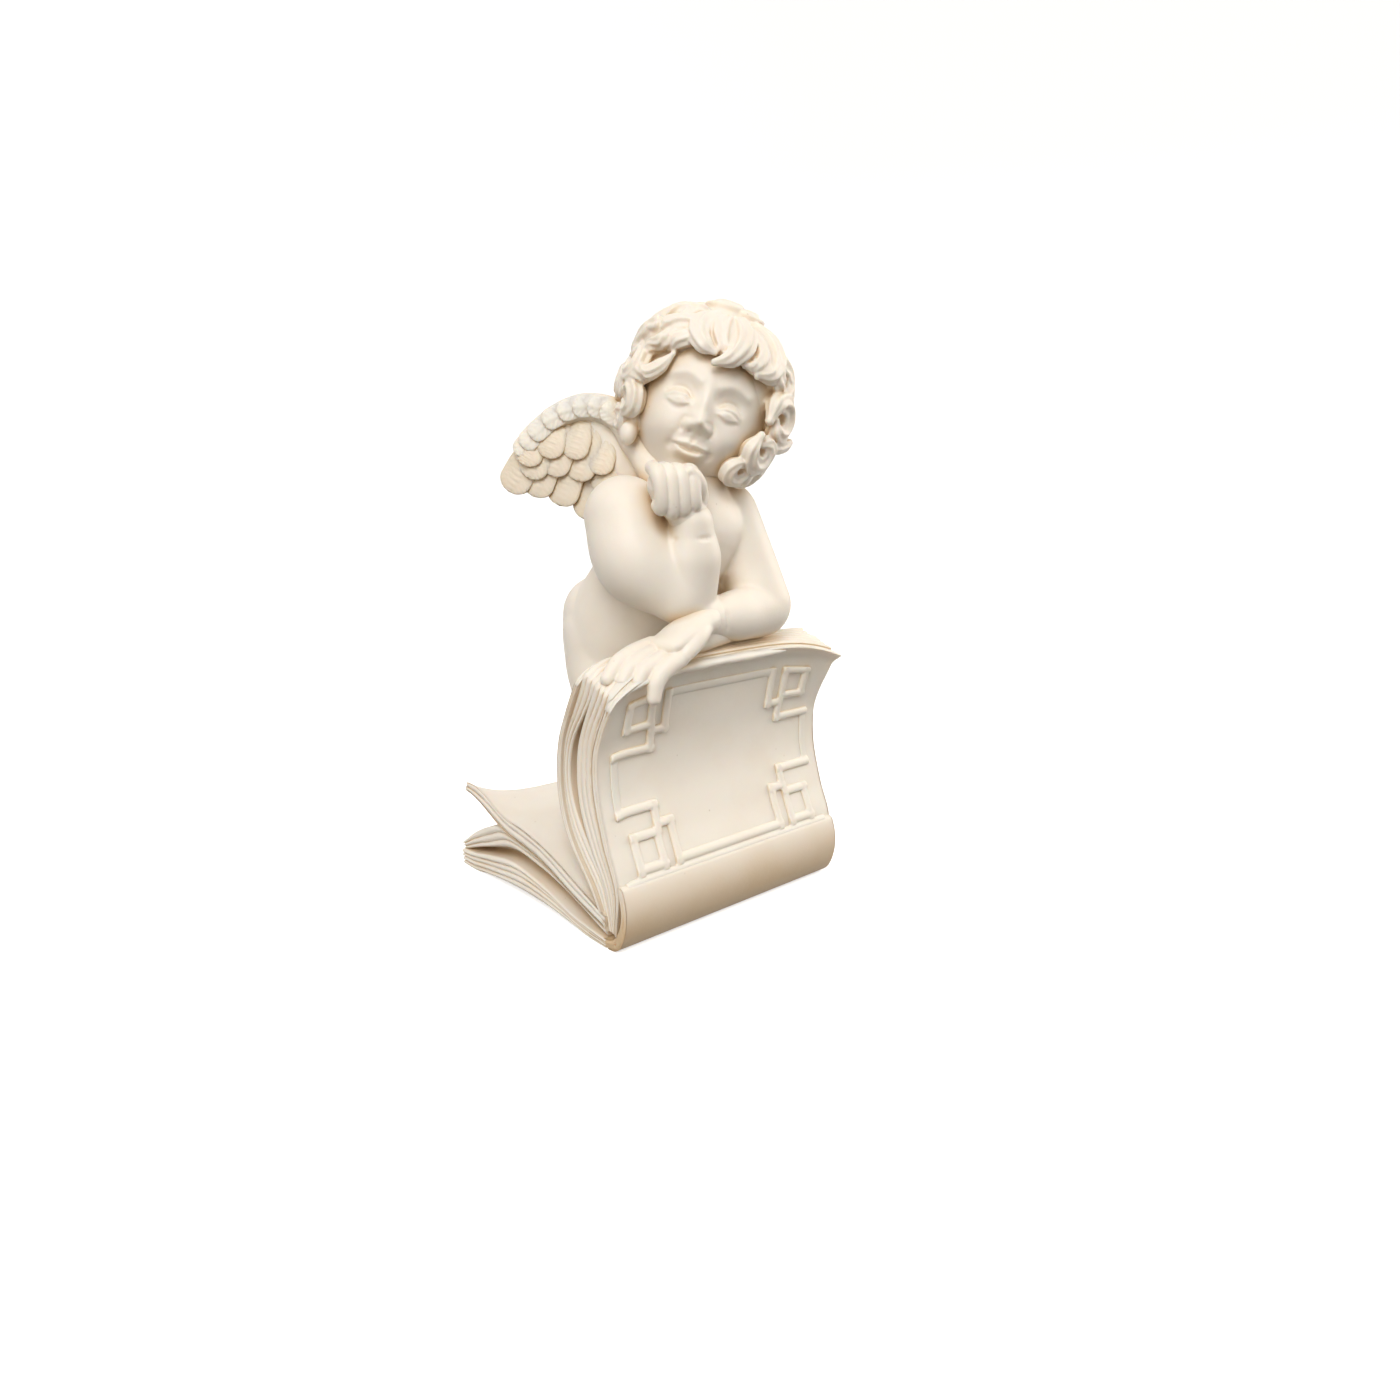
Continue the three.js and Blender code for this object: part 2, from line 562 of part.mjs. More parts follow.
function head() {
  const [wide, deep, high] = skull;
  const spot = (around, z) => {
    const ring = Math.sqrt(Math.max(0, 1 - (z / high) ** 2));
    const x = wide * ring * Math.sin(around) * (1 - 0.1 * smooth(-z, 4, 14));
    let y = -deep * ring * Math.cos(around);
    for (const [bx, bz, across, tall, out] of faceBumps)
      for (const side of bx ? [-1, 1] : [1])
        y -= out * Math.exp(-(((x - side * bx) / across) ** 2) - ((z - bz) / tall) ** 2);
    return inHead([x, y, z]);
  };
  const [rows, columns] = [faceRows.length, faceColumns.length];
  const points = faceRows.flatMap((z) => faceColumns.map((share) => spot(share * Math.PI, z)));
  const core = points.push(inHead([0, -2, -2])) - 1;
  const faces = [];
  for (let r = 0; r < rows - 1; r++)
    for (let c = 0; c < columns - 1; c++) {
      const a = r * columns + c;
      faces.push(a, a + 1, a + columns + 1, a, a + columns + 1, a + columns);
    }
  const rim = [];
  for (let c = 0; c < columns - 1; c++) rim.push(c);
  for (let r = 0; r < rows - 1; r++) rim.push(r * columns + columns - 1);
  for (let c = columns - 1; c > 0; c--) rim.push((rows - 1) * columns + c);
  for (let r = rows - 1; r > 0; r--) rim.push(r * columns);
  rim.forEach((a, i) => faces.push(rim[(i + 1) % rim.length], a, core));
  const scalp = [wide + hairRise, deep + hairRise * 0.8, high + hairRise];
  return [
    solid(new THREE.BufferGeometry().setFromPoints(points).setIndex(faces)),
    ball([0, 4.6, 2.6], [scalp[0], scalp[1] - 4.4, scalp[2] - 2.6], headFrame, [16, 10]),
    ball([0, 2, -7], [wide - 2, deep - 4, 8.6], headFrame, [12, 8]),
    ...[-1, 1].map((side) => ball([side * (wide - 0.4), 1, -3.6], [1.9, 2.6, 3.8], headFrame, [6, 5])),
  ];
}

// A lock of hair: a comma that winds on the scalp about the direction (around, above), in degrees
function lock(around, above, size, hand, start) {
  const [a, b] = [radians(around), radians(above)];
  const out = new THREE.Vector3(Math.sin(a) * Math.cos(b), -Math.cos(a) * Math.cos(b), Math.sin(b));
  const up = new THREE.Vector3(0, 0, 1).addScaledVector(out, -out.z).normalize();
  const side = out.clone().cross(up);
  const scalp = 1 / Math.hypot(out.x / skull[0], out.y / skull[1], out.z / skull[2]) + hairRise * 0.8;
  const stations = lockRadii.map((thick, k) => {
    const angle = radians(start) + hand * k * lockWind;
    const far = size * (0.95 - 0.18 * k);
    const spot = out.clone().multiplyScalar(scalp + 0.25 * k)
      .addScaledVector(up, Math.cos(angle) * far)
      .addScaledVector(side, Math.sin(angle) * far);
    return [...spot.toArray(), size * thick, size * thick];
  });
  const outward = out.clone().transformDirection(headFrame);
  return limb(stations, { sides: 6, steps: 1, place: inHead, wide: outward, caps: 1 });
}

function hair() {
  const locks = [
    lock(8, 32, 4.2, 1, 200), lock(-14, 35, 4.2, -1, 150), lock(-38, 30, 4.6, -1, 90),
    lock(34, 27, 4.6, 1, 260), lock(-58, 15, 4.4, 1, 30), lock(58, 10, 4.8, -1, 330),
    lock(-74, -6, 3.6, -1, 20), lock(74, -12, 4.8, 1, 300), lock(90, -28, 4.6, -1, 340),
  ];
  for (const [above, count, from, size] of hairRows)
    for (let i = 0; i < count; i++) {
      const around = from + ((360 - 2 * from) * i) / (count - 1);
      locks.push(lock(around, above, size, i % 2 ? 1 : -1, 70 * i + above));
    }
  return locks;
}

// A wing in its own plane: x outward from its root, z up. Rows of feathers hang from a rounded arm.
const wingArm = [
  [-3, -4.5, 1, 4], [1.5, -1.5, 7, 3.6], [6, 0, 12.6, 2.8], [12, 0.6, 14.2, 2.6], [18.5, 0.8, 12.3, 2.3], [25, 0.6, 6.4, 2],
  [29.2, 0, 0.2, 1.6],
];
const longFeathers = [
  [24, 9, 30.4, -2.2], [20.5, 11.6, 27, -3], [17, 12.6, 23.6, -2.8], [13.5, 12.6, 20, -4], [10, 11.6, 16.8, -5.4],
  [7, 8.6, 13.4, -7.4], [4, 4.6, 10, -9.6], [1.6, 0, 6.6, -11.6],
];

function wing(side, sweep) {
  const frame = new THREE.Matrix4()
    .makeTranslation(at([wingRoot[0] + side * wingRoot[3], wingRoot[1], wingRoot[2]]))
    .multiply(new THREE.Matrix4().makeRotationZ(radians(turn + side * sweep)));
  const place = ([x, y, z]) => new THREE.Vector3(side * x, y, z).multiplyScalar(unit).applyMatrix4(frame);
  const wide = new THREE.Vector3(0, 1, 0).transformDirection(frame);
  // A fan of feathers along the given lines, at depth y, each rounded across and shorter at its edges
  const fan = (lines, y, thick, parts = 3) => {
    const count = (lines.length - 1) * parts;
    const point = (face) => (p, share) => {
      const i = Math.min(Math.floor(p), lines.length - 2);
      const [x0, z0, x1, z1] = lines[i].map((from, k) => lerp(from, lines[i + 1][k], p - i));
      const edge = Math.abs(2 * (p - Math.round(p)));
      const long = share * (1 - 0.16 * edge ** 2);
      const half = thick * (1 - 0.55 * edge ** 1.5) * (1 - 0.6 * share ** 4) * face;
      return place([lerp(x0, x1, long), y + half, lerp(z0, z1, long)]);
    };
    const made = [];
    for (const face of [-1, 1])
      for (let i = 0; i <= count; i++)
        for (const share of [0, 0.5, 0.85, 1]) made.push(point(face)(i / parts, share));
    const faces = [];
    const back = (count + 1) * 4;
    const quad = (a, b, c, d) => faces.push(a, b, c, a, c, d);
    for (let i = 0; i < count; i++) {
      for (let j = 0; j < 3; j++) {
        const a = 4 * i + j;
        quad(a, a + 4, a + 5, a + 1);
        quad(back + a, back + a + 1, back + a + 5, back + a + 4);
      }
      quad(4 * i, back + 4 * i, back + 4 * i + 4, 4 * i + 4);
      quad(4 * i + 7, back + 4 * i + 7, back + 4 * i + 3, 4 * i + 3);
    }
    for (let j = 0; j < 3; j++) {
      quad(j + 1, back + j + 1, back + j, j);
      const a = 4 * count + j;
      quad(a, back + a, back + a + 1, a + 1);
    }
    return solid(new THREE.BufferGeometry().setFromPoints(made).setIndex(faces));
  };
  const shorter = (row, share) => row.map(([x0, z0, x1, z1]) => [x0, z0, lerp(x0, x1, share), lerp(z0, z1, share)]);
  return [
    limb(wingArm, { place, wide, sides: 6, steps: 1 }),
    limb([[0, -0.6, 0, 2.4, 5], [8, 0.4, 8, 1.8, 4]], { place, wide, sides: 6, steps: 1 }),
    fan(longFeathers, 0.6, 1.1),
    fan(shorter(longFeathers, 0.66), -0.3, 1.2),
    fan(shorter(longFeathers, 0.36), -1.2, 1.3),
  ];
}

const { body, pockets } = spine();
const shapes = [
  body, ...uprightHalf(), ...lyingHalf(), ...border(), ...torso(), ...legs(), ...arms(), ...hands(),
  ...head(), ...hair(), ...wing(-1, rightSweep), ...wing(1, leftSweep),
];
const whole = pockets.reduce((made, pocket) => made.subtract(pocket), join(shapes));

const figurine = new THREE.Mesh(
  meshOf(whole, mostTriangles),
  new THREE.MeshStandardMaterial({ color: "#e9dfcf", roughness: 0.55, metalness: 0 }),
);
figurine.name = "angel_figurine";

// The origin is the middle of the footprint, on the table
figurine.geometry.computeBoundingBox();
const bounds = figurine.geometry.boundingBox;
const middle = bounds.getCenter(new THREE.Vector3());
figurine.position.set(-middle.x, -middle.y, -bounds.min.z);

const group = new THREE.Group();
group.add(figurine);
export default group;
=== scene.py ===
import bpy
import math
import numpy as np
from mathutils import Matrix, Vector


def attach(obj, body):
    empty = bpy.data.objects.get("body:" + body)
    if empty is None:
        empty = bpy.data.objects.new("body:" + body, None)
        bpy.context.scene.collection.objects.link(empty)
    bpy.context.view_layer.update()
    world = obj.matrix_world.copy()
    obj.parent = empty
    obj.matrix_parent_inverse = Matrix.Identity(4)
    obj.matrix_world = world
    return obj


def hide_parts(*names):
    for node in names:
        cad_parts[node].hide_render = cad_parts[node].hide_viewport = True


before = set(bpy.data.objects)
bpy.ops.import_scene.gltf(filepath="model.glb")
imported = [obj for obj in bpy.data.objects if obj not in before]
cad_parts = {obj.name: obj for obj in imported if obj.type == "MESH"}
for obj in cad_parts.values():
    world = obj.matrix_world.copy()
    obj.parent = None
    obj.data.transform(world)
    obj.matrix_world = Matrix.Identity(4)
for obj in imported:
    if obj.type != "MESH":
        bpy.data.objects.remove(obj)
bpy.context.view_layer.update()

# Shapes are modelled in millimetres from the axis of the book's spine: x along it, y towards the fore edge
# of the lying half, z up. The row's frame is in metres, with its origin in the middle of the footprint.
millimetre = 0.001
spineAxis = Vector((0, -28.076, 0.6))
toRow = Matrix.Scale(millimetre, 4) @ Matrix.Translation(spineAxis)


# Modelling helpers

def deselect():
    bpy.ops.object.select_all(action="DESELECT")


def choose(*pieces):
    deselect()
    for piece in pieces:
        piece.select_set(True)
    bpy.context.view_layer.objects.active = pieces[0]


def modify(piece, kind, **settings):
    choose(piece)
    modifier = piece.modifiers.new(kind.lower(), kind)
    for name, value in settings.items():
        setattr(modifier, name, value)
    bpy.ops.object.modifier_apply(modifier=modifier.name)


def getPoints(piece, what="co"):
    points = np.empty(len(piece.data.vertices) * 3)
    piece.data.vertices.foreach_get(what, points)
    return points.reshape(-1, 3)


def setPoints(piece, points):
    piece.data.vertices.foreach_set("co", np.asarray(points, dtype=float).ravel())
    piece.data.update()


def join(parts, name):
    choose(*parts)
    bpy.ops.object.join()
    parts[0].name = parts[0].data.name = name
    return parts[0]


# Overlapping parts become one skin, and their seams soften into each other
def fuse(parts, name, cell, rounds):
    piece = join(parts, name)
    modify(piece, "REMESH", mode="VOXEL", voxel_size=cell, adaptivity=0)
    if rounds:
        modify(piece, "SMOOTH", factor=0.5, iterations=rounds)
    return piece


# Gives up the triangles that a soft skin does not need, and mends the faces that this spoils
def thin(piece, keep):
    modify(piece, "DECIMATE", ratio=keep)
    piece.data.validate()
    return piece


def blend(low, high, share):
    return low + (high - low) * share


def ramp(value, low, high):
    share = np.clip((value - low) / (high - low), 0, 1)
    return share * share * (3 - 2 * share)


# A curve through points, with its direction, at a share of the way along
def pathThrough(points):
    points = [np.array(p, dtype=float) for p in points]
    ends = [2 * points[0] - points[1]] + points + [2 * points[-1] - points[-2]]

    def at(share):
        place = min(max(share, 0), 1) * (len(points) - 1)
        i = min(int(place), len(points) - 2)
        a, b, c, d = ends[i:i + 4]
        ab, bc, cd = (max(np.linalg.norm(q - p), 1e-4) ** 0.5 for p, q in ((a, b), (b, c), (c, d)))
        leave = ((b - a) / ab - (c - a) / (ab + bc) + (c - b) / bc) * bc
        arrive = ((c - b) / bc - (d - b) / (bc + cd) + (d - c) / cd) * bc
        w = place - i
        square = 3 * (c - b) - 2 * leave - arrive
        cube = 2 * (b - c) + leave + arrive
        spot = b + leave * w + square * w ** 2 + cube * w ** 3
        ahead = leave + 2 * square * w + 3 * cube * w ** 2
        return spot, ahead / max(np.linalg.norm(ahead), 1e-6)
    return at


# Pushes a skin in or out along a line through points, fading to nothing at about twice the width
def carve(piece, points, width, out):
    path = pathThrough(points)
    skin, normals = getPoints(piece), getPoints(piece, "normal")
    steps = 6 * len(points)
    near = np.full(len(skin), 1e9)
    for k in range(steps + 1):
        near = np.minimum(near, ((skin - path(k / steps)[0]) ** 2).sum(axis=1))
    setPoints(piece, skin + normals * (out * np.exp(-near / width ** 2))[:, None])


ballTemplates = {}
fluteDepth = 0.13


# A ball of unit radius, made once for each fineness and copied
def unitBall(name, sides, rings):
    if (sides, rings) not in ballTemplates:
        deselect()
        bpy.ops.mesh.primitive_uv_sphere_add(segments=sides, ring_count=rings, radius=1)
        first = bpy.context.object
        ballTemplates[sides, rings] = first.data
        bpy.data.objects.remove(first)
    piece = bpy.data.objects.new(name, ballTemplates[sides, rings].copy())
    bpy.context.scene.collection.objects.link(piece)
    return piece


def ball(centre, radii, turned=Matrix.Identity(4), sides=32, rings=20):
    piece = unitBall("ball", sides, rings)
    piece.data.transform(turned @ Matrix.Translation(centre) @ Matrix.Diagonal((*radii, 1)))
    return piece


# A ball drawn out along stations (x, y, z, across, deep), with round ends; place turns a station into a point
def limb(stations, place, wide, sides=24, rings=36, cap=0.16, flutes=0):
    piece = unitBall("limb", sides, rings)
    path = pathThrough([place(s[:3]) for s in stations])
    wide = np.array(wide, dtype=float)

    def radius(share, which):
        far = share * (len(stations) - 1)
        i = min(int(far), len(stations) - 2)
        first, second = (s[which] if len(s) > which else s[3] for s in stations[i:i + 2])
        return blend(first, second, float(ramp(far - i, 0, 1)))

    def section(along):
        share = min(max((along - cap) / (1 - 2 * cap), 0), 1)
        spot, ahead = path(share)
        u = wide - wide.dot(ahead) * ahead
        u /= np.linalg.norm(u)
        across, deep = radius(share, 3), radius(share, 4)
        turn = min(min(along, 1 - along) / cap, 1) * math.pi / 2
        sign = -1 if along < 0.5 else 1
        spot = spot + ahead * sign * math.cos(turn) * min(across, deep)
        return spot, u * across * math.sin(turn), np.cross(ahead, u) * deep * math.sin(turn)

    points = getPoints(piece)
    along = np.round(1 - np.arccos(np.clip(points[:, 2], -1, 1)) / math.pi, 4)
    around = np.arctan2(points[:, 1], points[:, 0])
    strands = 1 + fluteDepth * np.cos(flutes * around) if flutes else np.ones(len(around))
    for level in np.unique(along):
        ring = along == level
        spot, u, v = section(level)
        across, deep = (turned(around[ring]) * strands[ring] for turned in (np.cos, np.sin))
        points[ring] = spot + np.outer(across, u) + np.outer(deep, v)
    setPoints(piece, points)
    return piece


# The book
print("Book")
book = {
    "width": 59.5, "leafLength": 58.6, "blockThickness": 13.6, "underside": -0.6,
    "topCurl": (2.4, 3.6), "topCurlFrom": 0.55, "topCurlFade": 0.9, "foreCurl": 5.2, "foreCurlFrom": 0.6,
    "curlReach": 4, "armRest": (0.09, 0.918),
    "panelFace": [(0.0, 0.05), (-0.014, 0.22), (0.036, 0.355), (0.076, 0.5), (0.081, 0.62), (0.064, 0.73),
                  (0.044, 0.83), (0.02, 0.925)],
    "backFace": [(0.06, 0.05), (0.13, 0.16), (0.235, 0.28), (0.29, 0.37), (0.318, 0.5), (0.303, 0.645),
                 (0.257, 0.757), (0.205, 0.86), (0.16, 0.955)],
    "topFace": [(0.06, 0.1), (0.23, 0.164), (0.38, 0.219), (0.54, 0.255), (0.69, 0.27), (0.81, 0.272),
                (0.94, 0.257)],
    "topUnder": [(0.06, 0.06), (0.215, 0.104), (0.43, 0.174), (0.63, 0.21), (0.79, 0.219), (0.955, 0.22)],
    "secondFace": [(0.06, 0.08), (0.22, 0.13), (0.45, 0.195), (0.69, 0.222), (0.79, 0.203), (0.91, 0.147),
                   (1.02, 0.075)],
    "secondUnder": [(0.06, 0.03), (0.275, 0.102), (0.46, 0.143), (0.63, 0.16), (0.81, 0.114), (1.0, 0.05)],
    "thirdFace": [(0.06, 0.02), (0.25, 0.04), (0.435, 0.086), (0.635, 0.109), (0.78, 0.089), (0.92, 0.06),
                  (1.01, 0.05)],
    "thirdUnder": [(0.06, -0.01), (0.16, -0.01), (0.24, 0), (0.41, 0.016), (0.64, 0.018), (0.84, 0),
                   (0.9, -0.01), (1.0, -0.01)],
    "gapWide": 0.2, "gapEnds": (0.15, 0.95), "bundleStep": 0.5,
    "leafPitch": 1.4, "leafDepth": 0.55, "ridgeSharp": 0.55, "edgeRound": 0.4, "unevenDepth": 0.2,
    "edgeUneven": (0.55, 0.45, 2.7), "waver": [(0.12, 7, 1), (0.07, 19, 2.3)], "waverRamp": 8,
    "topLip": 2.3, "lipFrom": 0.9, "lipCurve": 1.5, "lipDepth": 0.2, "cornerRound": 7,
    "rollEnds": (-26.5, 15), "rollAt": 0.962, "rollUp": 0.95, "rollOut": 1.4, "rollTaper": 6,
    "rollUneven": (0.13, 0.55),
}
halfWidth = book["width"] / 2


def profile(name):
    return pathThrough([(0, y * book["leafLength"], z * book["leafLength"]) for y, z in book[name]])


panelCurve, backCurve = profile("panelFace"), profile("backFace")
deepest = backCurve(0.5)[0][1] - panelCurve(0.5)[0][1]


def sideCurl(x, t, start):
    return abs(x / halfWidth) ** book["curlReach"] * float(ramp(t, start, 1))


# How far up the leaves reach, which is less round their near corner
def topAt(x):
    radius = book["cornerRound"]
    past = min(max((radius - halfWidth - x) / radius, 0), 1)
    return 1 - radius / book["leafLength"] * (1 - math.sqrt(1 - past ** 2))


# A point of the upright half, from its front face to its back
def upright(x, t, share):
    t *= topAt(x)
    front, back = panelCurve(t)[0], backCurve(t)[0].copy()
    back[1] = front[1] + (back[1] - front[1]) * book["blockThickness"] / deepest
    curl = sideCurl(x, t, book["topCurlFrom"]) * (1 - share * book["topCurlFade"])
    forward, down = book["topCurl"]
    rolled = float(ramp(t, book["lipFrom"], 1)) ** book["lipCurve"]
    lip = book["topLip"] * rolled * max(0, 1 - share / book["lipDepth"])
    return blend(front, back, share) + np.array((x, -forward * curl - lip, -down * curl))


# How deep the skin lies between the leaves' edges, at a share of the bundle's thickness
def grooveDepth(share, along, thick, seed):
    count = max(2, round(thick / book["leafPitch"]))
    waver = sum(high * math.sin(often * along + shift * seed) for high, often, shift in book["waver"])
    leaf = share * count + waver * min(1, book["waverRamp"] * share, book["waverRamp"] * (1 - share))
    ridge = abs(math.sin(math.pi * leaf)) ** book["ridgeSharp"]
    middle, swing, often = book["edgeUneven"]
    uneven = middle + swing * math.sin(often * math.floor(leaf) + seed)
    rim = max(0, 1 - min(share, 1 - share) * thick / book["edgeRound"])
    valley = book["leafDepth"] * (1 - ridge) * (1 - rim)
    return valley + book["unevenDepth"] * book["leafDepth"] * uneven + book["edgeRound"] * rim ** 2


# A block cut into a grid, with its corners from 0 to 1
def cutBlock(cuts):
    deselect()
    bpy.ops.mesh.primitive_cube_add(size=1, location=(0.5, 0.5, 0.5))
    piece = bpy.context.object
    bpy.ops.object.transform_apply()
    for axis, count in enumerate(cuts):
        bpy.ops.object.mode_set(mode="EDIT")
        bpy.ops.mesh.select_mode(type="EDGE")
        bpy.ops.mesh.select_all(action="DESELECT")
        bpy.ops.object.mode_set(mode="OBJECT")
        corners = getPoints(piece)
        for edge in piece.data.edges:
            span = np.abs(corners[edge.vertices[0]] - corners[edge.vertices[1]])
            edge.select = bool(span[axis] > 1e-6)
        bpy.ops.object.mode_set(mode="EDIT")
        bpy.ops.mesh.subdivide(number_cuts=count - 1)
        bpy.ops.object.mode_set(mode="OBJECT")
    return piece


# A bundle of leaves: a cut block whose corners go to their place by shape(x, t, share)
def leaves(shape, inset, far, cuts, thick, seed):
    piece = cutBlock(cuts)
    points = getPoints(piece)
    half = halfWidth - inset
    for k, (u, v, w) in enumerate(points):
        atEnd, atFar = min(u, 1 - u) < 1e-5, v > 1 - 1e-5
        x = half * math.sin((u - 0.5) * math.pi)
        t = far * v
        if atEnd:
            x -= math.copysign(grooveDepth(w, v, thick, seed), x)
        if atFar:
            t -= grooveDepth(w, u, thick, seed + 3) / book["leafLength"]
        points[k] = shape(x, t, w)
    setPoints(piece, points)
    return piece


# The gap between the two thick bundles, widest half way up
def gapAt(t):
    return book["gapWide"] * math.sin(math.pi * float(ramp(t, *book["gapEnds"])))


# Each bundle has its front and back as shares of the block, its inset, its top, its cuts and its thickness.
# The last one fills the gap from within, and the limb is the lip that the front page rolls over.
def uprightHalf():
    step = book["bundleStep"]
    high, often = book["rollUneven"]
    bundles = [
        (lambda t: 0, lambda t: 0.14, 0, 0.985, (44, 80, 8), 1.9),
        (lambda t: 0.11, lambda t: 0.57, step, 1, (16, 56, 48), 6),
        (lambda t: 0.56 + gapAt(t), lambda t: 0.93, step * 1.4, 0.99, (16, 56, 36), 3.6),
        (lambda t: 0.9, lambda t: 1, 0, 0.975, (30, 56, 8), 1.4),
        (lambda t: 0.45, lambda t: 0.8, 5, 0.975, (2, 20, 4), 4),
    ]
    made = []
    for k, (front, back, inset, top, cuts, thick) in enumerate(bundles):
        def shape(x, t, share, front=front, back=back):
            return upright(x, t, blend(front(t), back(t), share))
        made.append(leaves(shape, inset, top, cuts, thick, k))
    roll = []
    for x in np.linspace(*book["rollEnds"], 15):
        toEnd = min(x - book["rollEnds"][0], book["rollEnds"][1] - x)
        uneven = (1 + high * math.sin(often * x)) * (0.3 + 0.7 * float(ramp(toEnd, 0, book["rollTaper"])))
        roll.append((*upright(x, book["rollAt"], 0), book["rollUp"] * uneven, book["rollOut"] * uneven))
    made.append(limb(roll, np.array, (0, 0, 1), rings=90, cap=0.03))
    return join(made, "uprightHalf")


# Each bundle has its faces, how much its corners lift, its inset, its end, its cuts and its thickness
def lyingHalf():
    bundles = [
        ("topUnder", "topFace", 1, 0, 1, (44, 56, 14), 2.4),
        ("secondUnder", "secondFace", 0, book["bundleStep"], 1, (16, 56, 30), 4),
        ("thirdUnder", "thirdFace", 0, 0, 1, (16, 56, 36), 5),
        ("thirdUnder", "secondFace", 0, 5, 0.93, (2, 20, 4), 5),
    ]
    made = []
    for k, (under, over, lift, inset, far, cuts, thick) in enumerate(bundles):
        low, high = profile(under), profile(over)

        def shape(x, t, share, low=low, high=high, lift=lift):
            point = blend(low(t)[0], high(t)[0], share)
            curl = book["foreCurl"] * sideCurl(x, t, book["foreCurlFrom"])
            point = point + np.array((x, 0, lift * curl))
            point[2] = max(point[2], book["underside"])
            return point
        made.append(leaves(shape, inset, far, cuts, thick, k + 7))
    return join(made, "lyingHalf")


# The round spine: a wall that is open at both ends, with a core set back inside it
def roundSpine():
    spine = {
        "outside": [(9, -0.6), (4.6, -0.6), (2.2, -0.55), (0.5, -0.2), (-0.8, 0.8), (-1.9, 2.6), (-2.7, 5),
                    (-3, 7.4), (-2.8, 9.8), (-2.2, 12), (-1.5, 13.5)],
        "inside": [(9, 1.2), (4.8, 1.2), (3.2, 1.3), (2, 1.6), (1, 2.3), (0, 3.6), (-0.8, 5.4), (-1.1, 7.4),
                   (-1, 9.4), (-0.5, 11.4), (0.6, 13.2)],
        "coreInset": 2.4, "coreBack": 6.5, "lip": 0.3, "lipFrom": 0.955, "thick": 0.7,
    }
    outer = pathThrough([(0, y, z) for y, z in spine["outside"]])
    inner = pathThrough([(0, y, z) for y, z in spine["inside"]])

    def wall(x, t, share):
        lip = spine["lip"] * float(ramp(t, spine["lipFrom"], 1))
        return blend(outer(t)[0], inner(t)[0], blend(lip, 1 - lip, share)) + np.array((x, 0, 0))

    def core(x, t, share):
        point = blend(inner(t)[0], inner(t)[0] * (0, 0, 1) + np.array((0, spine["coreBack"], 0)), share)
        return point + np.array((x, 0, 0))
    made = [leaves(wall, 0, 1, (24, 60, 6), spine["thick"], 1),
            leaves(core, spine["coreInset"], 1, (4, 24, 4), spine["thick"], 2)]
    return join(made, "roundSpine")


# The border on the upright page: rounded bars along its lines, half sunk in the page
def pageBorder():
    border = {
        "lineWidth": 1.9, "lineHeight": 0.78, "margin": 3.95, "foot": 15, "head": 6.4, "footGap": 2,
        "cornerAcross": 11.6, "cornerUp": 10.8, "rise": 0.67, "shelf": 0.72, "squareHalf": 2.9,
        "squareAt": (0.43, 0.27), "wornHeight": 0.4, "step": 0.8, "cell": 0.2, "rounds": 3, "keep": 0.45,
    }
    foot, gap, across, up = border["foot"], border["footGap"], border["cornerAcross"], border["cornerUp"]
    middle = (panelCurve(1)[0][2] - border["head"] + foot) / 2
    sideLine = halfWidth - border["margin"]

    def placed(corner, side, end):
        z = foot + corner[1]
        return np.array((side * (sideLine - corner[0]), z if end > 0 else 2 * middle - z))

    rise, shelf = up * border["rise"], across * border["shelf"]
    steps = [(across, 0), (across, rise), (shelf, rise), (shelf, up), (0, up)]
    half = border["squareHalf"]
    i, j = border["squareAt"]
    square = [(across * i + half * a, up * j + half * b) for a, b in ((-1, -1), (1, -1), (1, 1), (-1, 1))]
    ways, worn = [], []
    for end in (1, -1):
        (ways if end > 0 else worn).append([placed((across, 0), side, end) for side in (-1, 1)])
        if end > 0:
            ways.append([placed((-gap / 2, -gap), side, end) for side in (-1, 1)])
        for side in (-1, 1):
            ways.append([placed(p, side, end) for p in steps])
            ways.append([placed(p, side, end) for p in square + square[:1]])
    for side in (-1, 1):
        worn.append([placed((0, up), side, end) for end in (1, -1)])

    def shareAt(z):
        low, high = 0, 1
        for _ in range(20):
            half = (low + high) / 2
            low, high = (half, high) if panelCurve(half)[0][2] < z else (low, half)
        return low

    def bar(first, second, height):
        ahead = (second - first) / np.linalg.norm(second - first)
        first, second = first - ahead * border["lineWidth"] / 2, second + ahead * border["lineWidth"] / 2
        piece = cutBlock((max(2, round(np.linalg.norm(second - first) / border["step"])), 8, 6))
        points = getPoints(piece)
        for k, (u, v, w) in enumerate(points):
            side, out = 2 * v - 1, 2 * w - 1
            side, out = side * math.sqrt(1 - out ** 2 / 2), out * math.sqrt(1 - side ** 2 / 2)
            x, z = blend(first, second, u) + np.array((-ahead[1], ahead[0])) * side * border["lineWidth"] / 2
            points[k] = upright(x, shareAt(z), 0) - np.array((0, out * height, 0))
        setPoints(piece, points)
        return piece
    bars = [bar(a, b, border["lineHeight"]) for way in ways for a, b in zip(way, way[1:])]
    bars += [bar(a, b, border["wornHeight"]) for a, b in worn]
    return thin(fuse(bars, "pageBorder", border["cell"], border["rounds"]), border["keep"])


bookPieces = [uprightHalf(), lyingHalf(), roundSpine(), pageBorder()]


# The cherub's points are measured from the middle of the upright half's top edge
armRest = np.array((0, *(share * book["leafLength"] for share in book["armRest"])))
bodyAngle = -10
bodyTurn = Matrix.Rotation(math.radians(bodyAngle), 4, "Z")
leftward = np.array(bodyTurn @ Vector((1, 0, 0)))


def onRest(spot):
    return np.array(spot, dtype=float) + armRest


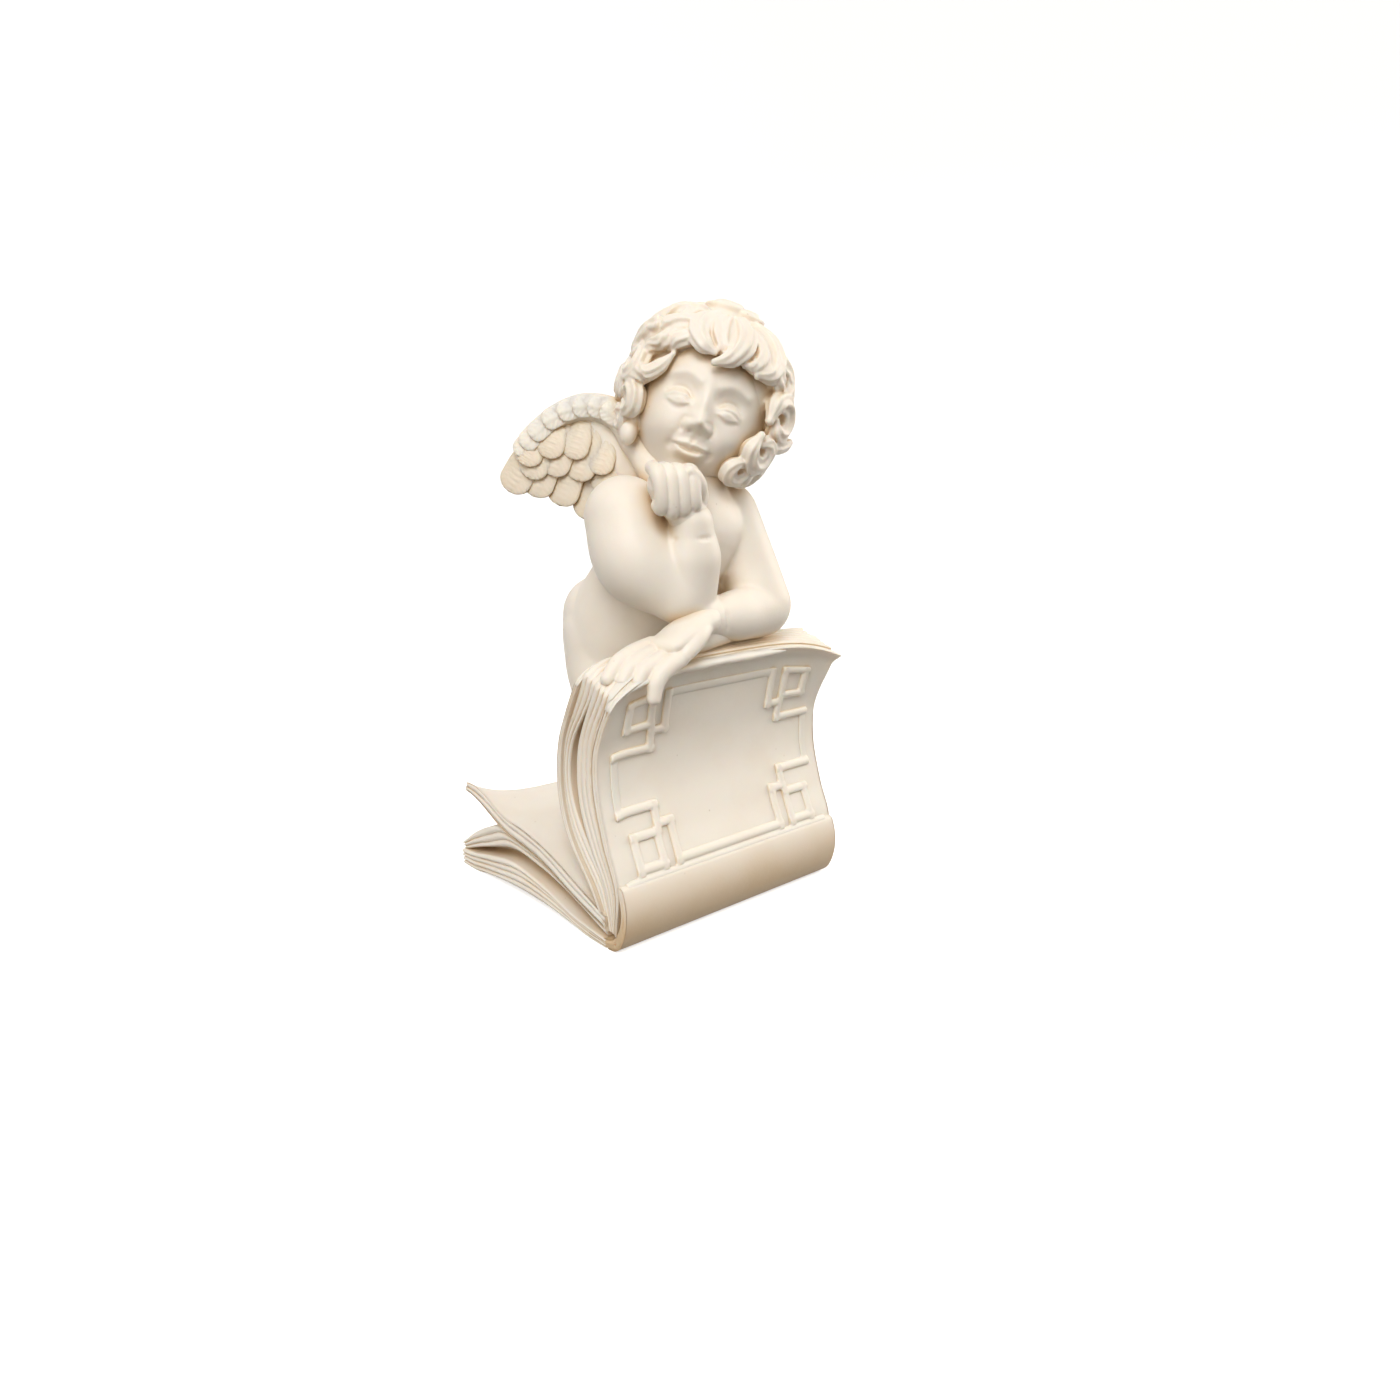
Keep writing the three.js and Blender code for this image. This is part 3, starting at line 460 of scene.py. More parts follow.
def bodyLimb(stations, **fineness):
    return limb(stations, onRest, leftward, **fineness)


# The body
print("Body")
body = {
    "cell": 0.36, "rounds": 24, "keep": 0.45,
    "trunk": [(-4.2, 22, -5, 13, 9.8), (-4.5, 21.2, 3, 13.5, 11.5), (-3.8, 14, 14, 12.2, 10.8),
              (0, 9, 24.4, 13.2, 10.8), (0.4, 8, 32, 8.6, 7.2), (2, 7.4, 37, 5.6, 5.6),
              (3.6, 7.6, 42, 5.6, 5.6)],
    "seat": [[(-9.2, 25.4, 1.5, 8.2), (-9.2, 25, 5.4, 8.2)], [(2.6, 24.6, 1.5, 8.2), (2.6, 24.4, 5.4, 8.2)]],
    "belly": ((3, 12, 13), (8.5, 8, 9)),
    "legAcross": (-10.4, 3.8), "ankle": 1.6, "hip": -3, "kneeShare": 0.48, "calfShare": 0.72,
    "footAt": 0.52, "toeStep": 1.35, "toe": (0.75, 1.3, 0.75),
    "arms": [
        [(-13.6, 10.6, 26.2, 8), (-13.6, 7, 18.4, 8.4), (-7.6, 1.6, 12.6, 6.8)],
        [(-6.8, 1.2, 12.2, 6.4), (-6.6, -0.8, 18.5, 5.7), (-7.2, -1.6, 25.4, 4.1)],
        [(9.6, 7, 26, 6.6), (12, 4.2, 17, 6.5), (13.4, 0.4, 7.8, 6.4)],
        [(13.2, 0, 7.2, 6), (5, -1.4, 6.6, 5.2), (-4.6, -2.2, 7, 3.8)],
    ],
}


def legs():
    floor = profile("topFace")(body["footAt"])[0][2] - armRest[2] + body["ankle"]
    knee, calf = (blend(body["hip"], floor, body[name]) for name in ("kneeShare", "calfShare"))
    made = []
    for x in body["legAcross"]:
        made += [
            bodyLimb([(x, 24, 2, 8), (x, 23.5, -5, 7.8), (x - 0.6, 19.5, knee, 6.4), (x - 0.2, 23, calf, 5.6),
                      (x, 25, floor + 2, 4)]),
            bodyLimb([(x, 26.8, floor + 0.3, 3.6), (x, 20, floor - 0.2, 3.8, 2.7),
                      (x, 14.5, floor - 0.6, 3.2, 2)]),
        ]
        for k in range(5):
            across = x + (k - 2) * body["toeStep"]
            made.append(ball(onRest((across, 13.2 - 0.5 * (2 - abs(k - 2)), floor - 1.2)), body["toe"]))
    return made


# The folds and creases are lines with a width and how far out the skin goes
def cherubBody():
    parts = [bodyLimb(body["trunk"], sides=40, rings=60)]
    parts += [bodyLimb(seat) for seat in body["seat"]]
    parts.append(ball(onRest(body["belly"][0]), body["belly"][1]))
    parts += legs()
    parts += [bodyLimb(arm, sides=32, rings=48) for arm in body["arms"]]
    piece = fuse(parts, "cherubBody", body["cell"], body["rounds"])
    folds = [
        ([(-3.6, 32, -3), (-3.4, 33.5, 3), (-3.6, 31.5, 9)], 0.8, -1.3),
        ([(-4, 26, 12), (-2.4, 22, 20), (-1, 19.6, 28)], 1.6, -0.7),
        ([(-15.5, 7, 8.5), (-12, 8.6, 12), (-8.5, 8.2, 16.6)], 0.6, -0.4),
        ([(-11.5, -1.4, 22.6), (-7.4, -5.8, 22.8), (-3.2, -2.6, 23)], 0.45, -0.45),
        ([(-1.6, -5.6, 4), (-2, -6, 7.4), (-1.8, -3, 10.4)], 0.45, -0.4),
    ]
    for line, width, out in folds:
        carve(piece, [onRest(p) for p in line], width, out)
    return thin(piece, body["keep"])


# The hands
fingerTaper = (1, 0.98, 0.92, 0.8)


def finger(joints, radius):
    stations = [(*joint, radius * size) for joint, size in zip(joints, fingerTaper)]
    return limb(stations, onRest, leftward, sides=20, rings=32)


def restingHand():
    hand = {
        "cell": 0.2, "rounds": 4, "keep": 0.5, "finger": 1.75,
        "palm": [(-3, -2.1, 7.3, 3.5, 3.4), (-6.5, -2.7, 6.6, 4.1, 3), (-11, -3.2, 5, 4.8, 2.6),
                 (-15.8, -3.4, 3.2, 4.5, 2.1)],
        "heel": [(3, -0.6, 4.4, 3.2), (-4, -1.6, 3.8, 3.2), (-11, -2.4, 2.8, 2.8)],
        "thumb": [(-7.4, -5.2, 6), (-10, -6.8, 4.8), (-12.6, -7.4, 3), (-14.5, -7.4, 1.6)],
        "bends": [(0.9, -1.7), (0.2, -2.1), (-0.4, -2.3), (-2.1, -5.2)],
    }
    parts = [limb(hand[name], onRest, (0.3, 1, 0)) for name in ("palm", "heel")]
    for i, (secondUp, tipUp) in enumerate(hand["bends"]):
        knuckle = (-16 + i * 0.4, -0.2 - i * 2.25, 3 - i * 0.55)
        first = (-20.2 + i * 0.7, -0.4 - i * 2.25, 2.3 - i * 0.75)
        second = (-24.4 + i * 1.3, -0.8 - i * 2.1, secondUp)
        tip = (-27.4 + i * 2, -1.3 - i * 1.95, tipUp)
        parts.append(finger((knuckle, first, second, tip), hand["finger"]))
    parts.append(finger(hand["thumb"], hand["finger"] * 1.05))
    return thin(fuse(parts, "restingHand", hand["cell"], hand["rounds"]), hand["keep"])


def chinFist():
    fist = {
        "cell": 0.2, "rounds": 2, "keep": 0.6, "finger": 1.38, "apart": 2.05,
        "heel": ((-6.6, -1.8, 30.4), (2.6, 2.6, 3.3)), "swell": (1, 1.16, 0.92, 1.04, 0.82),
        "palm": [(-7.2, -1.5, 25, 3.7), (-8.4, -1, 28, 4, 3.6), (-10.6, -0.2, 31, 4.4, 3.6),
                 (-11.8, 0.4, 33, 4, 3.2)],
        "thumb": [(-6.6, -3, 30), (-7.4, -4.2, 32.2), (-8.8, -4.6, 34), (-10, -4.4, 35)],
    }
    parts = [limb(fist["palm"], onRest, leftward), ball(onRest(fist["heel"][0]), fist["heel"][1])]
    for i in range(4):
        x = -15 + i * fist["apart"]
        low = 27.6 + 0.7 * abs(i - 1.2)
        joints = [(x + 0.6, 1.2 - 0.6 * i, 35.6 - 0.2 * i), (x - 0.4, -1.6 - 0.7 * i, 34.6),
                  (x - 0.5, -2.7 - 0.7 * i, 31), (x + 0.2, -1.8 - 0.7 * i, low),
                  (x + 0.8, 0.2 - 0.6 * i, low + 0.4)]
        stations = [(*joint, fist["finger"] * swell) for joint, swell in zip(joints, fist["swell"])]
        parts.append(limb(stations, onRest, leftward, sides=20, rings=40))
    parts.append(finger(fist["thumb"], fist["finger"]))
    return thin(fuse(parts, "chinFist", fist["cell"], fist["rounds"]), fist["keep"])


bodyPieces = [cherubBody(), restingHand(), chinFist()]


# The head has its own frame: x to its left, y to its back, z to its crown
print("Head")
head = {
    "centre": (4.1, 8.6, 46.6), "turn": -37, "lift": 6, "tilt": 19, "skull": (13.2, 14.6, 16.4),
    "jawFrom": 4, "jawTo": 14, "jawNarrow": 0.1, "faceFrom": 0.35, "hairRise": 1.8, "hairLie": 0.8,
}
headFrame = (Matrix.Translation(onRest(head["centre"]))
             @ Matrix.Rotation(math.radians(head["turn"]), 4, "Z")
             @ Matrix.Rotation(math.radians(-head["lift"]), 4, "X")
             @ Matrix.Rotation(math.radians(head["tilt"]), 4, "Y"))
headSide = np.array(headFrame.to_3x3() @ Vector((1, 0, 0)))


def inHead(spot):
    return np.array(headFrame @ Vector(spot))


# Rises of the face: across, up, width, height, how far out. Those off the middle are mirrored.
faceRises = [
    (0, 7, 9, 5, 0.5), (4.9, 0.3, 3.1, 2, -1.45), (2.5, -0.4, 1.1, 1.2, -0.5), (4.8, -1.1, 2.15, 1.45, 1.5),
    (0, -1.4, 1.5, 3.2, 1.2), (0, -5.1, 1.7, 1.7, 2.4), (0, -5, 1, 1, 0.5), (1.75, -5.75, 0.85, 0.9, 1),
    (0.95, -6.75, 0.5, 0.35, -0.7), (6.4, -7.2, 3.7, 3.5, 1.7), (0, -9.6, 3.6, 2.2, 0.75),
    (3.8, -9.7, 0.7, 0.8, -0.6), (0, -12.1, 2.6, 0.8, -0.5), (0, -14.1, 3.1, 2, 2.5),
]
# Lines of the face: points across and up, width, how far out
faceLines = [
    ([(2.7, -0.8), (3.6, 0.25), (4.9, 0.65), (6.2, 0.3), (7.3, -0.7)], 0.34, -0.42),
    ([(2.6, -1.3), (3.6, -0.75), (4.9, -0.6), (6.2, -0.85), (7.2, -1.5)], 0.3, 0.3),
    ([(2.7, -1.65), (3.7, -1.3), (4.9, -1.2), (6.1, -1.4), (7, -1.8)], 0.24, -0.34),
    ([(2.9, -1.9), (3.8, -2.35), (4.9, -2.55), (6, -2.35), (6.9, -1.9)], 0.3, 0.26),
    ([(3, -2.7), (4.9, -3.4), (6.9, -2.6)], 0.5, -0.22),
    ([(2.1, 2.4), (4.4, 3.5), (7.4, 2.7)], 0.9, 0.4),
    ([(1.5, -4.4), (2.7, -4.6), (3.2, -5.7), (2.7, -6.7)], 0.32, -0.4),
    ([(0, -7.1), (0, -8.3)], 0.45, -0.3),
    ([(-3, -9.2), (-1.5, -8.85), (-0.5, -8.65), (0, -8.85), (0.5, -8.65), (1.5, -8.85), (3, -9.2)],
     0.55, 0.7),
    ([(-3.5, -9.35), (-1.6, -9.55), (0, -9.75), (1.6, -9.55), (3.5, -9.35)], 0.26, -0.8),
    ([(-2.1, -10.4), (-0.9, -10.7), (0, -10.75), (0.9, -10.7), (2.1, -10.4)], 0.7, 0.85),
    ([(3, -6.6), (3.9, -8.2), (4.3, -9.4)], 0.5, -0.25),
]


def shapeFace(piece):
    wide, deep, high = head["skull"]
    unit = getPoints(piece)
    z = unit[:, 2] * high
    jaw = 1 - head["jawNarrow"] * ramp(-z, head["jawFrom"], head["jawTo"])
    x = unit[:, 0] * wide * jaw
    out = np.zeros(len(unit))
    for across, up, width, height, rise in faceRises:
        for side in ((-1, 1) if across else (1,)):
            out += rise * np.exp(-((x - side * across) / width) ** 2 - ((z - up) / height) ** 2)
    for line, width, rise in faceLines:
        path = pathThrough([(a, b, 0) for a, b in line])
        for side in ((-1, 1) if min(a for a, b in line) > 0.5 else (1,)):
            near = np.full(len(unit), 1e9)
            steps = 8 * len(line)
            for k in range(steps + 1):
                a, b, _ = path(k / steps)[0]
                near = np.minimum(near, (x - side * a) ** 2 + (z - b) ** 2)
            out += rise * np.exp(-near / width ** 2)
    front = ramp(-unit[:, 1], 0, head["faceFrom"])
    setPoints(piece, np.stack((x, unit[:, 1] * deep - out * front, z), axis=1))


# An ear: a bowl, a lobe and a rim that bends round the bowl
def ear(side):
    form = {"bowl": (11.7, -4.4, -6.6), "bowlRadii": (1.5, 2.6, 4), "lobe": (11.9, -5.6, -9.6),
            "lobeRadii": (1.7, 2.2, 2.5), "rimOut": 0.6, "rimThick": 0.7,
            "rim": [(-0.3, 1.7, -2.2), (0.7, 2.3, 0.6), (0.9, 1.6, 3), (0.7, -0.4, 3.9), (0.2, -2, 2.8)]}
    x, y, z = form["bowl"]
    bend = [(side * (x + form["rimOut"] + out), y + along, z + up, form["rimThick"])
            for out, along, up in form["rim"]]
    return [
        ball((side * x, y, z), form["bowlRadii"], headFrame),
        ball((side * form["lobe"][0], *form["lobe"][1:]), form["lobeRadii"], headFrame),
        limb(bend, inHead, headSide, sides=16, rings=40),
    ]


def cherubFace():
    face = {"cell": 0.2, "rounds": 3, "keep": 0.5, "sides": 260, "rings": 200}
    skin = unitBall("face", face["sides"], face["rings"])
    shapeFace(skin)
    skin.data.transform(headFrame)
    return thin(fuse([skin] + ear(-1) + ear(1), "cherubFace", face["cell"], face["rounds"]), face["keep"])


# The hair: fluted locks over a cap. The front ones lie along points (around, above) seen from the middle of
# the head in degrees, with how far they stand off the cap; the others each wind about a point.
print("Hair")
hair = {
    "cell": 0.24, "rounds": 2, "keep": 0.42, "flutes": 7, "swell": (0.3, 0.85, 1, 0.95, 0.75, 0.3),
    "front": [
        (2.4, [(2, 66, 0), (-4, 54, 0.4), (-5, 44, 0.6), (-1, 35, 0.6), (5, 29, 0.3)]),
        (2.3, [(-8, 68, 0), (-20, 56, 0.5), (-24, 42, 1), (-16, 31, 1.2), (-4, 27, 0.9)]),
        (2.4, [(6, 68, 0), (12, 56, 0.8), (15, 42, 1.3), (10, 29, 1.4), (-3, 20, 1)]),
        (2.6, [(22, 70, 0), (42, 60, 0.8), (54, 48, 1.3), (47, 32, 1.4), (29, 24, 1)]),
        (2.1, [(16, 60, 0), (26, 50, 0.6), (33, 40, 0.9), (28, 30, 1), (18, 27, 0.7)]),
        (2.6, [(-20, 56, 0), (-34, 44, 0.8), (-53, 36, 1.6), (-73, 27, 1.6), (-80, 12, 0.8)]),
        (2, [(-10, 50, 0), (-22, 38, 0.5), (-37, 29, 0.9), (-52, 24, 1.2), (-60, 14, 0.8)]),
        (1.9, [(-34, 22, 0), (-42, 8, 0.5), (-54, 3, 1), (-67, 9, 1.2), (-62, 20, 0.6)]),
        (2.7, [(-24, 66, 0), (-50, 60, 0.8), (-76, 50, 1.4), (-92, 36, 1.2), (-98, 20, 0.6)]),
        (1.5, [(60, -14, 1), (74, -10, 2.2), (86, -4, 3.6), (94, 1, 4.6)]),
    ],
    "sides": [(60, 33, 5.4, 1, 200, 1.2), (66, 6, 5.4, -1, 120, 1.3), (58, -18, 4.8, 1, 60, 1),
              (47, -36, 3.8, -1, 0, 0.6), (78, 20, 4.4, -1, 40, 1), (78, -8, 4.2, 1, 200, 0.8),
              (66, -34, 4, 1, 130, 0.6), (74, 44, 4.6, -1, 10, 1),
              (-62, -12, 3.9, 1, 90, 0.8), (-68, 10, 4.2, -1, 30, 1), (-80, -24, 3.8, -1, 300, 0.6),
              (-84, 0, 4.2, 1, 150, 0.8)],
    "rows": [(-30, 6, 100, 4.6), (-4, 7, 92, 5), (23, 8, 84, 5.2), (50, 8, 62, 5.2), (76, 5, 30, 5)],
    "wind": 1.05, "ring": 0.74, "ringStep": 0.07, "ringThick": 0.47, "ringDrop": 32,
    "ringSwell": (0.35, 0.8, 1, 1, 0.9, 0.7, 0.35), "scatter": 6,
}


# The way out from the middle of the head, and a point on the cap there
def scalpPoint(around, above, lift):
    a, b = math.radians(around), math.radians(above)
    out = np.array((math.sin(a) * math.cos(b), -math.cos(a) * math.cos(b), math.sin(b)))
    scalp = 1 / np.linalg.norm(out / np.array(head["skull"])) + head["hairRise"] * head["hairLie"]
    return out, out * (scalp + lift)


# A lock lies along its way over the cap
def lock(size, way):
    path = pathThrough([scalpPoint(*spot)[1] for spot in way])
    stations = []
    for k, swell in enumerate(hair["swell"]):
        spot, _ = path(k / (len(hair["swell"]) - 1))
        stations.append((*spot, size * swell, size * swell * 0.8))
    facing = headFrame.to_3x3() @ Vector(scalpPoint(*way[len(way) // 2])[0])
    return limb(stations, inHead, np.cross(facing, (0.3, 0.2, 1)), sides=42, rings=44, flutes=hair["flutes"])


# A curl winds about a point of the scalp and closes in on a dark hole
def curl(around, above, size, hand, start, lift=0.5):
    out, spot = scalpPoint(around, above, lift)
    up = np.array((0, 0.3, 1)) - out * out.dot((0, 0.3, 1))
    up /= np.linalg.norm(up)
    side = np.cross(out, up)
    stations = []
    for k, swell in enumerate(hair["ringSwell"]):
        angle = math.radians(start) + hand * k * hair["wind"]
        far = size * (hair["ring"] - hair["ringStep"] * k)
        turned = up * math.cos(angle) + side * math.sin(angle)
        drop = far ** 2 / hair["ringDrop"]
        stations.append((*(spot + turned * far - out * drop), *[size * hair["ringThick"] * swell] * 2))
    facing = headFrame.to_3x3() @ Vector(out)
    return limb(stations, inHead, facing, sides=42, rings=60, flutes=hair["flutes"])


def cherubHair():
    wide, deep, high = head["skull"]
    rise = head["hairRise"]
    back = deep + rise * head["hairLie"] - 4.4
    parts = [ball((0, 4.6, 2.6), (wide + rise, back, high + rise - 2.6), headFrame, 48, 32),
             ball((0, 0, 4.6), (wide + 1.4, deep - 1.7, high + rise - 4.4), headFrame, 48, 32),
             ball((0, 2, -7), (wide - 2, deep - 4, 8.6), headFrame)]
    parts += [lock(size, way) for size, way in hair["front"]]
    parts += [curl(*side) for side in hair["sides"]]
    for above, count, first, size in hair["rows"]:
        for i in range(count):
            around = first + (360 - 2 * first) * i / (count - 1)
            scatter = hair["scatter"] * math.sin(5 * i + above)
            parts.append(curl(around, above + scatter, size, 1 if i % 2 else -1, 70 * i + above))
    return thin(fuse(parts, "cherubHair", hair["cell"], hair["rounds"]), hair["keep"])


headPieces = [cherubFace(), cherubHair()]


# The wings: rows of feathers that hang from a rounded arm with small scales, in a plane of their own.
# A row has where its feathers start and end, their half width, thickness, layer, shift and tuck.
print("Wings")
wings = {
    "root": (-0.4, 15, 33), "apart": 3.8, "sweep": {-1: 35, 1: 50},
    "arm": [(-3, -4.5, 1, 4), (1.5, -1.5, 7, 3.5), (6, 0, 12.4, 2.6, 3), (12, 0.6, 14, 2.3, 2.8),
            (18.5, 0.8, 12, 2, 2.5), (24.2, 0.6, 6.8, 1.6, 1.9), (26.6, 0.5, 3.4, 0.45, 0.6)],
    "stump": [(0, -0.6, 0, 2, 5), (7, 0.4, 7, 1.1, 4), (10.5, 0.5, 11, 1, 3)],
    "long": [(22, 8, 28.4, -2.4), (17.6, 11.4, 23.4, -3.4), (12.6, 12.6, 18.2, -5.2), (7.8, 9.4, 13, -8),
             (3.2, 3, 8, -11)],
    "rows": [(0, 1, 3.4, 0.7, 0, 0, 0), (0.02, 0.72, 3.2, 0.75, 0.7, 2.2, 0.4),
             (0.04, 0.48, 2.9, 0.8, 1.4, 0.1, 1)],
    "middle": 0.5, "fan": 0.12, "squareness": 0.8, "tipRound": 0.85, "barbSlant": 0.9,
    "scales": (0.24, 0.79, 8), "scaleLong": 0.17, "scaleHalf": 2.2, "scaleThick": 0.6, "scaleOut": 0.6,
    "scaleUp": 0.9, "scaleTuck": 0.9,
    "barbs": 1.1, "barbDepth": 0.2, "shaft": 0.3, "shaftHalf": 0.4, "shingle": 0.17, "tipLift": 0.9,
}


# A feather from its root to its tip, flat across the facing direction, with a shaft and slanting barbs
def feather(root, tip, half, thick, tuck, facing, rings=56):
    piece = unitBall("feather", 32, rings)
    points = getPoints(piece)
    root, tip, facing = np.array(root), np.array(tip), np.array(facing)
    long = np.linalg.norm(tip - root)
    ahead = (tip - root) / long
    facing = facing - facing.dot(ahead) * ahead
    facing /= np.linalg.norm(facing)
    side = np.cross(facing, ahead)
    along = 1 - np.arccos(np.clip(points[:, 2], -1, 1)) / math.pi
    around = np.arctan2(points[:, 1], points[:, 0])
    flat = np.sign(np.cos(around)) * np.abs(np.cos(around)) ** wings["squareness"]
    tipShare = min(0.5, half * wings["tipRound"] / long)
    rounding = np.clip((along - 1 + tipShare) / tipShare, 0, 1)
    body = blend(0.7, 1, ramp(along, 0, 0.55)) * np.sqrt(1 - rounding ** 2)
    body *= np.sqrt(np.clip(along / 0.06, 0, 1))
    across = flat * body * half
    rise = np.sin(around) * body * thick * blend(1, 0.7, along)
    slant = (along * long - np.abs(across) * wings["barbSlant"]) / wings["barbs"]
    barb = np.abs(np.sin(math.pi * slant)) ** 0.7 - 0.6
    edge = ramp(np.abs(np.sin(around)), 0.2, 0.7)
    shaft = np.exp(-(across / wings["shaftHalf"]) ** 2) * wings["shaft"]
    rise += np.sign(np.sin(around)) * edge * (barb * wings["barbDepth"] + shaft) * ramp(along, 0.04, 0.2)
    lift = wings["tipLift"] * along ** 2 + wings["shingle"] * across - tuck * (1 - along) ** 2
    spots = (root + np.outer(along * long, ahead) + np.outer(across, side) + np.outer(rise + lift, facing))
    setPoints(piece, spots)
    return piece


def wing(side):
    place = (Matrix.Translation(onRest((wings["root"][0] + side * wings["apart"], *wings["root"][1:])))
             @ Matrix.Rotation(math.radians(bodyAngle + side * wings["sweep"][side]), 4, "Z"))

    def inWing(spot):
        x, y, z = spot
        return np.array(place @ Vector((side * x, y, z)))
    towards = np.array(place.to_3x3() @ Vector((0, 1, 0)))
    bones = [limb(wings["arm"], inWing, towards, sides=36, rings=80), limb(wings["stump"], inWing, towards)]
    arm = pathThrough([station[:3] for station in wings["arm"]])
    order, thicknesses = range(len(wings["arm"])), [station[3] for station in wings["arm"]]
    for share in np.linspace(*wings["scales"]):
        (x0, y0, z0), (x1, y1, z1) = arm(share)[0], arm(share + wings["scaleLong"])[0]
        deep = wings["scaleOut"] * np.interp(share * order[-1], order, thicknesses)
        for face in (-1, 1):
            root = inWing((x0, y0 + face * deep, z0 + wings["scaleUp"]))
            tip = inWing((x1, y1 + face * deep, z1 + wings["scaleUp"] / 2))
            bones.append(feather(root, tip, wings["scaleHalf"], wings["scaleThick"], wings["scaleTuck"],
                                 face * towards, 32))
    feathers = []
    for near, far, half, thick, layer, shift, tuck in wings["rows"]:
        for n, (x0, z0, x1, z1) in enumerate(wings["long"]):
            for face in (-1, 1):
                y = wings["middle"] + face * (layer - wings["fan"] * n)
                root, tip = (inWing((blend(x0, x1, share) - shift, y, blend(z0, z1, share)))
                             for share in (near, far))
                feathers.append(feather(root, tip, half, thick, tuck, face * towards))
    name = "right" if side < 0 else "left"
    return join(bones, name + "WingArm"), join(feathers, name + "Feathers")


wingArms, wingFeathers = zip(wing(-1), wing(1))


# The finish
print("Finish")


# A value in a material, on which the usual signs make Math nodes
class Reading:
    def __init__(self, look, socket):
        self.look, self.socket = look, socket

    def sum(self, operation, first, second):
        return self.look.add("ShaderNodeMath", {"operation": operation}, {0: first, 1: second})

    def __add__(self, other):
        return self.sum("ADD", self, other)

    def __radd__(self, other):
        return self.sum("ADD", other, self)

    def __mul__(self, other):
        return self.sum("MULTIPLY", self, other)

    def __rmul__(self, other):
        return self.sum("MULTIPLY", other, self)


# A material or the world, whose nodes all come from add: it takes a node's type, its settings, and its
# sockets' values or links
class Look:
    def __init__(self, owner):
        self.owner = owner
        self.owner.use_nodes = True
        self.tree = self.owner.node_tree
        self.tree.nodes.clear()

    def add(self, kind, settings, sockets, output=0):
        node = self.tree.nodes.new(kind)
        for name, value in settings.items():
            setattr(node, name, value)
        for name, value in sockets.items():
            if isinstance(value, Reading):
                self.tree.links.new(value.socket, node.inputs[name])
            else:
                node.inputs[name].default_value = value
        return Reading(self, node.outputs[output]) if len(node.outputs) else None


# Cast resin with warm mottling and dark specks, under painted shade in a warm brown: in its hollows, evenly
# all over when asked, and towards the ground when foot is given
def castIvory(name, paintedShade=0, foot=0):
    ivory = {
        "light": (0.88, 0.825, 0.74, 1), "warm": (0.67, 0.5, 0.3, 1), "speck": (0.42, 0.33, 0.22, 1),
        "mottle": 90, "grain": 1600, "speckScale": 420, "patchScale": 160, "recess": 0.004, "rough": 0.42,
        "footShadeTop": 0.015, "footShadeEnd": 0.002, "recessShadeWarm": 0.75, "mottleWarm": 0.16, "speckDark": 0.5,
        "grainRough": 0.1, "hollowRough": 0.12, "bumpHigh": 0.00006, "bump": 0.35,
    }
    look = Look(bpy.data.materials.new(name))
    at = look.add("ShaderNodeTexCoord", {}, {}, "Object")

    def noise(scale, detail):
        return look.add("ShaderNodeTexNoise", {}, {"Vector": at, "Scale": scale, "Detail": detail}, "Fac")

    def mix(share, first, second):
        return look.add("ShaderNodeMix", {"data_type": "RGBA"}, {0: share, 6: first, 7: second}, 2)

    def between(value, low, high):
        return look.add("ShaderNodeMapRange", {}, {"Value": value, "From Min": low, "From Max": high}, 0)
    mottle, grain = noise(ivory["mottle"], 4.0), noise(ivory["grain"], 3.0)
    shade = look.add("ShaderNodeAmbientOcclusion", {"samples": 8}, {"Distance": ivory["recess"]}, "AO")
    # Painted shade: where ambient occlusion finds other surfaces close by, in hollows, creases and under
    # parts, the colour turns warm brown
    recessShade = between(shade, 0.86, 0.3)
    cells = look.add("ShaderNodeTexVoronoi", {}, {"Vector": at, "Scale": ivory["speckScale"]}, "Distance")
    speck = between(cells, 0.1, 0.05) * between(noise(ivory["patchScale"], 2.0), 0.6, 0.68)
    # The warm brown share: painted shade in the hollows, the real mottling, and painted shade given evenly
    # all over
    warm = recessShade * ivory["recessShadeWarm"] + between(mottle, 0.45, 0.8) * ivory["mottleWarm"] + paintedShade
    # Painted shade: the colour turns warm brown towards the bottom of the piece
    if foot:
        height = look.add("ShaderNodeSeparateXYZ", {}, {"Vector": at}, "Z")
        warm = warm + between(height, ivory["footShadeTop"], ivory["footShadeEnd"]) * foot
    colour = mix(warm, ivory["light"], ivory["warm"])
    colour = mix(speck * ivory["speckDark"], colour, ivory["speck"])
    rough = ivory["rough"] + grain * ivory["grainRough"] + recessShade * ivory["hollowRough"]
    bump = look.add("ShaderNodeBump", {}, {
        "Strength": ivory["bump"], "Distance": ivory["bumpHigh"], "Height": grain + mottle * 0.5,
    })
    shader = look.add("ShaderNodeBsdfPrincipled", {"subsurface_method": "RANDOM_WALK"}, {
        "Base Color": colour, "Roughness": rough, "Normal": bump, "IOR": 1.48, "Subsurface Weight": 0.3,
        "Subsurface Radius": (1.0, 0.62, 0.36), "Subsurface Scale": 0.0016,
    })
    look.add("ShaderNodeOutputMaterial", {}, {"Surface": shader})
    return look.owner


def plainWhite(name, colour, rough):
    look = Look(bpy.data.materials.new(name))
    shader = look.add("ShaderNodeBsdfPrincipled", {}, {
        "Base Color": colour, "Roughness": rough, "Emission Color": (1, 1, 1, 1), "Emission Strength": 0.6,
    })
    look.add("ShaderNodeOutputMaterial", {}, {"Surface": shader})
    return look.owner


# A modelled piece goes to its place in the row's frame, and stands for the cast body there
def finish(piece, material, crease=None):
    piece.data.transform(toRow)
    piece.data.materials.clear()
    piece.data.materials.append(material)
    choose(piece)
    if crease:
        bpy.ops.object.shade_smooth_by_angle(angle=math.radians(crease))
    else:
        bpy.ops.object.shade_smooth()
    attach(piece, "root")
    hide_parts("angel_figurine")
    faces = sum(len(face.vertices) - 2 for face in piece.data.polygons)
    print(piece.name, "has", faces, "triangles")


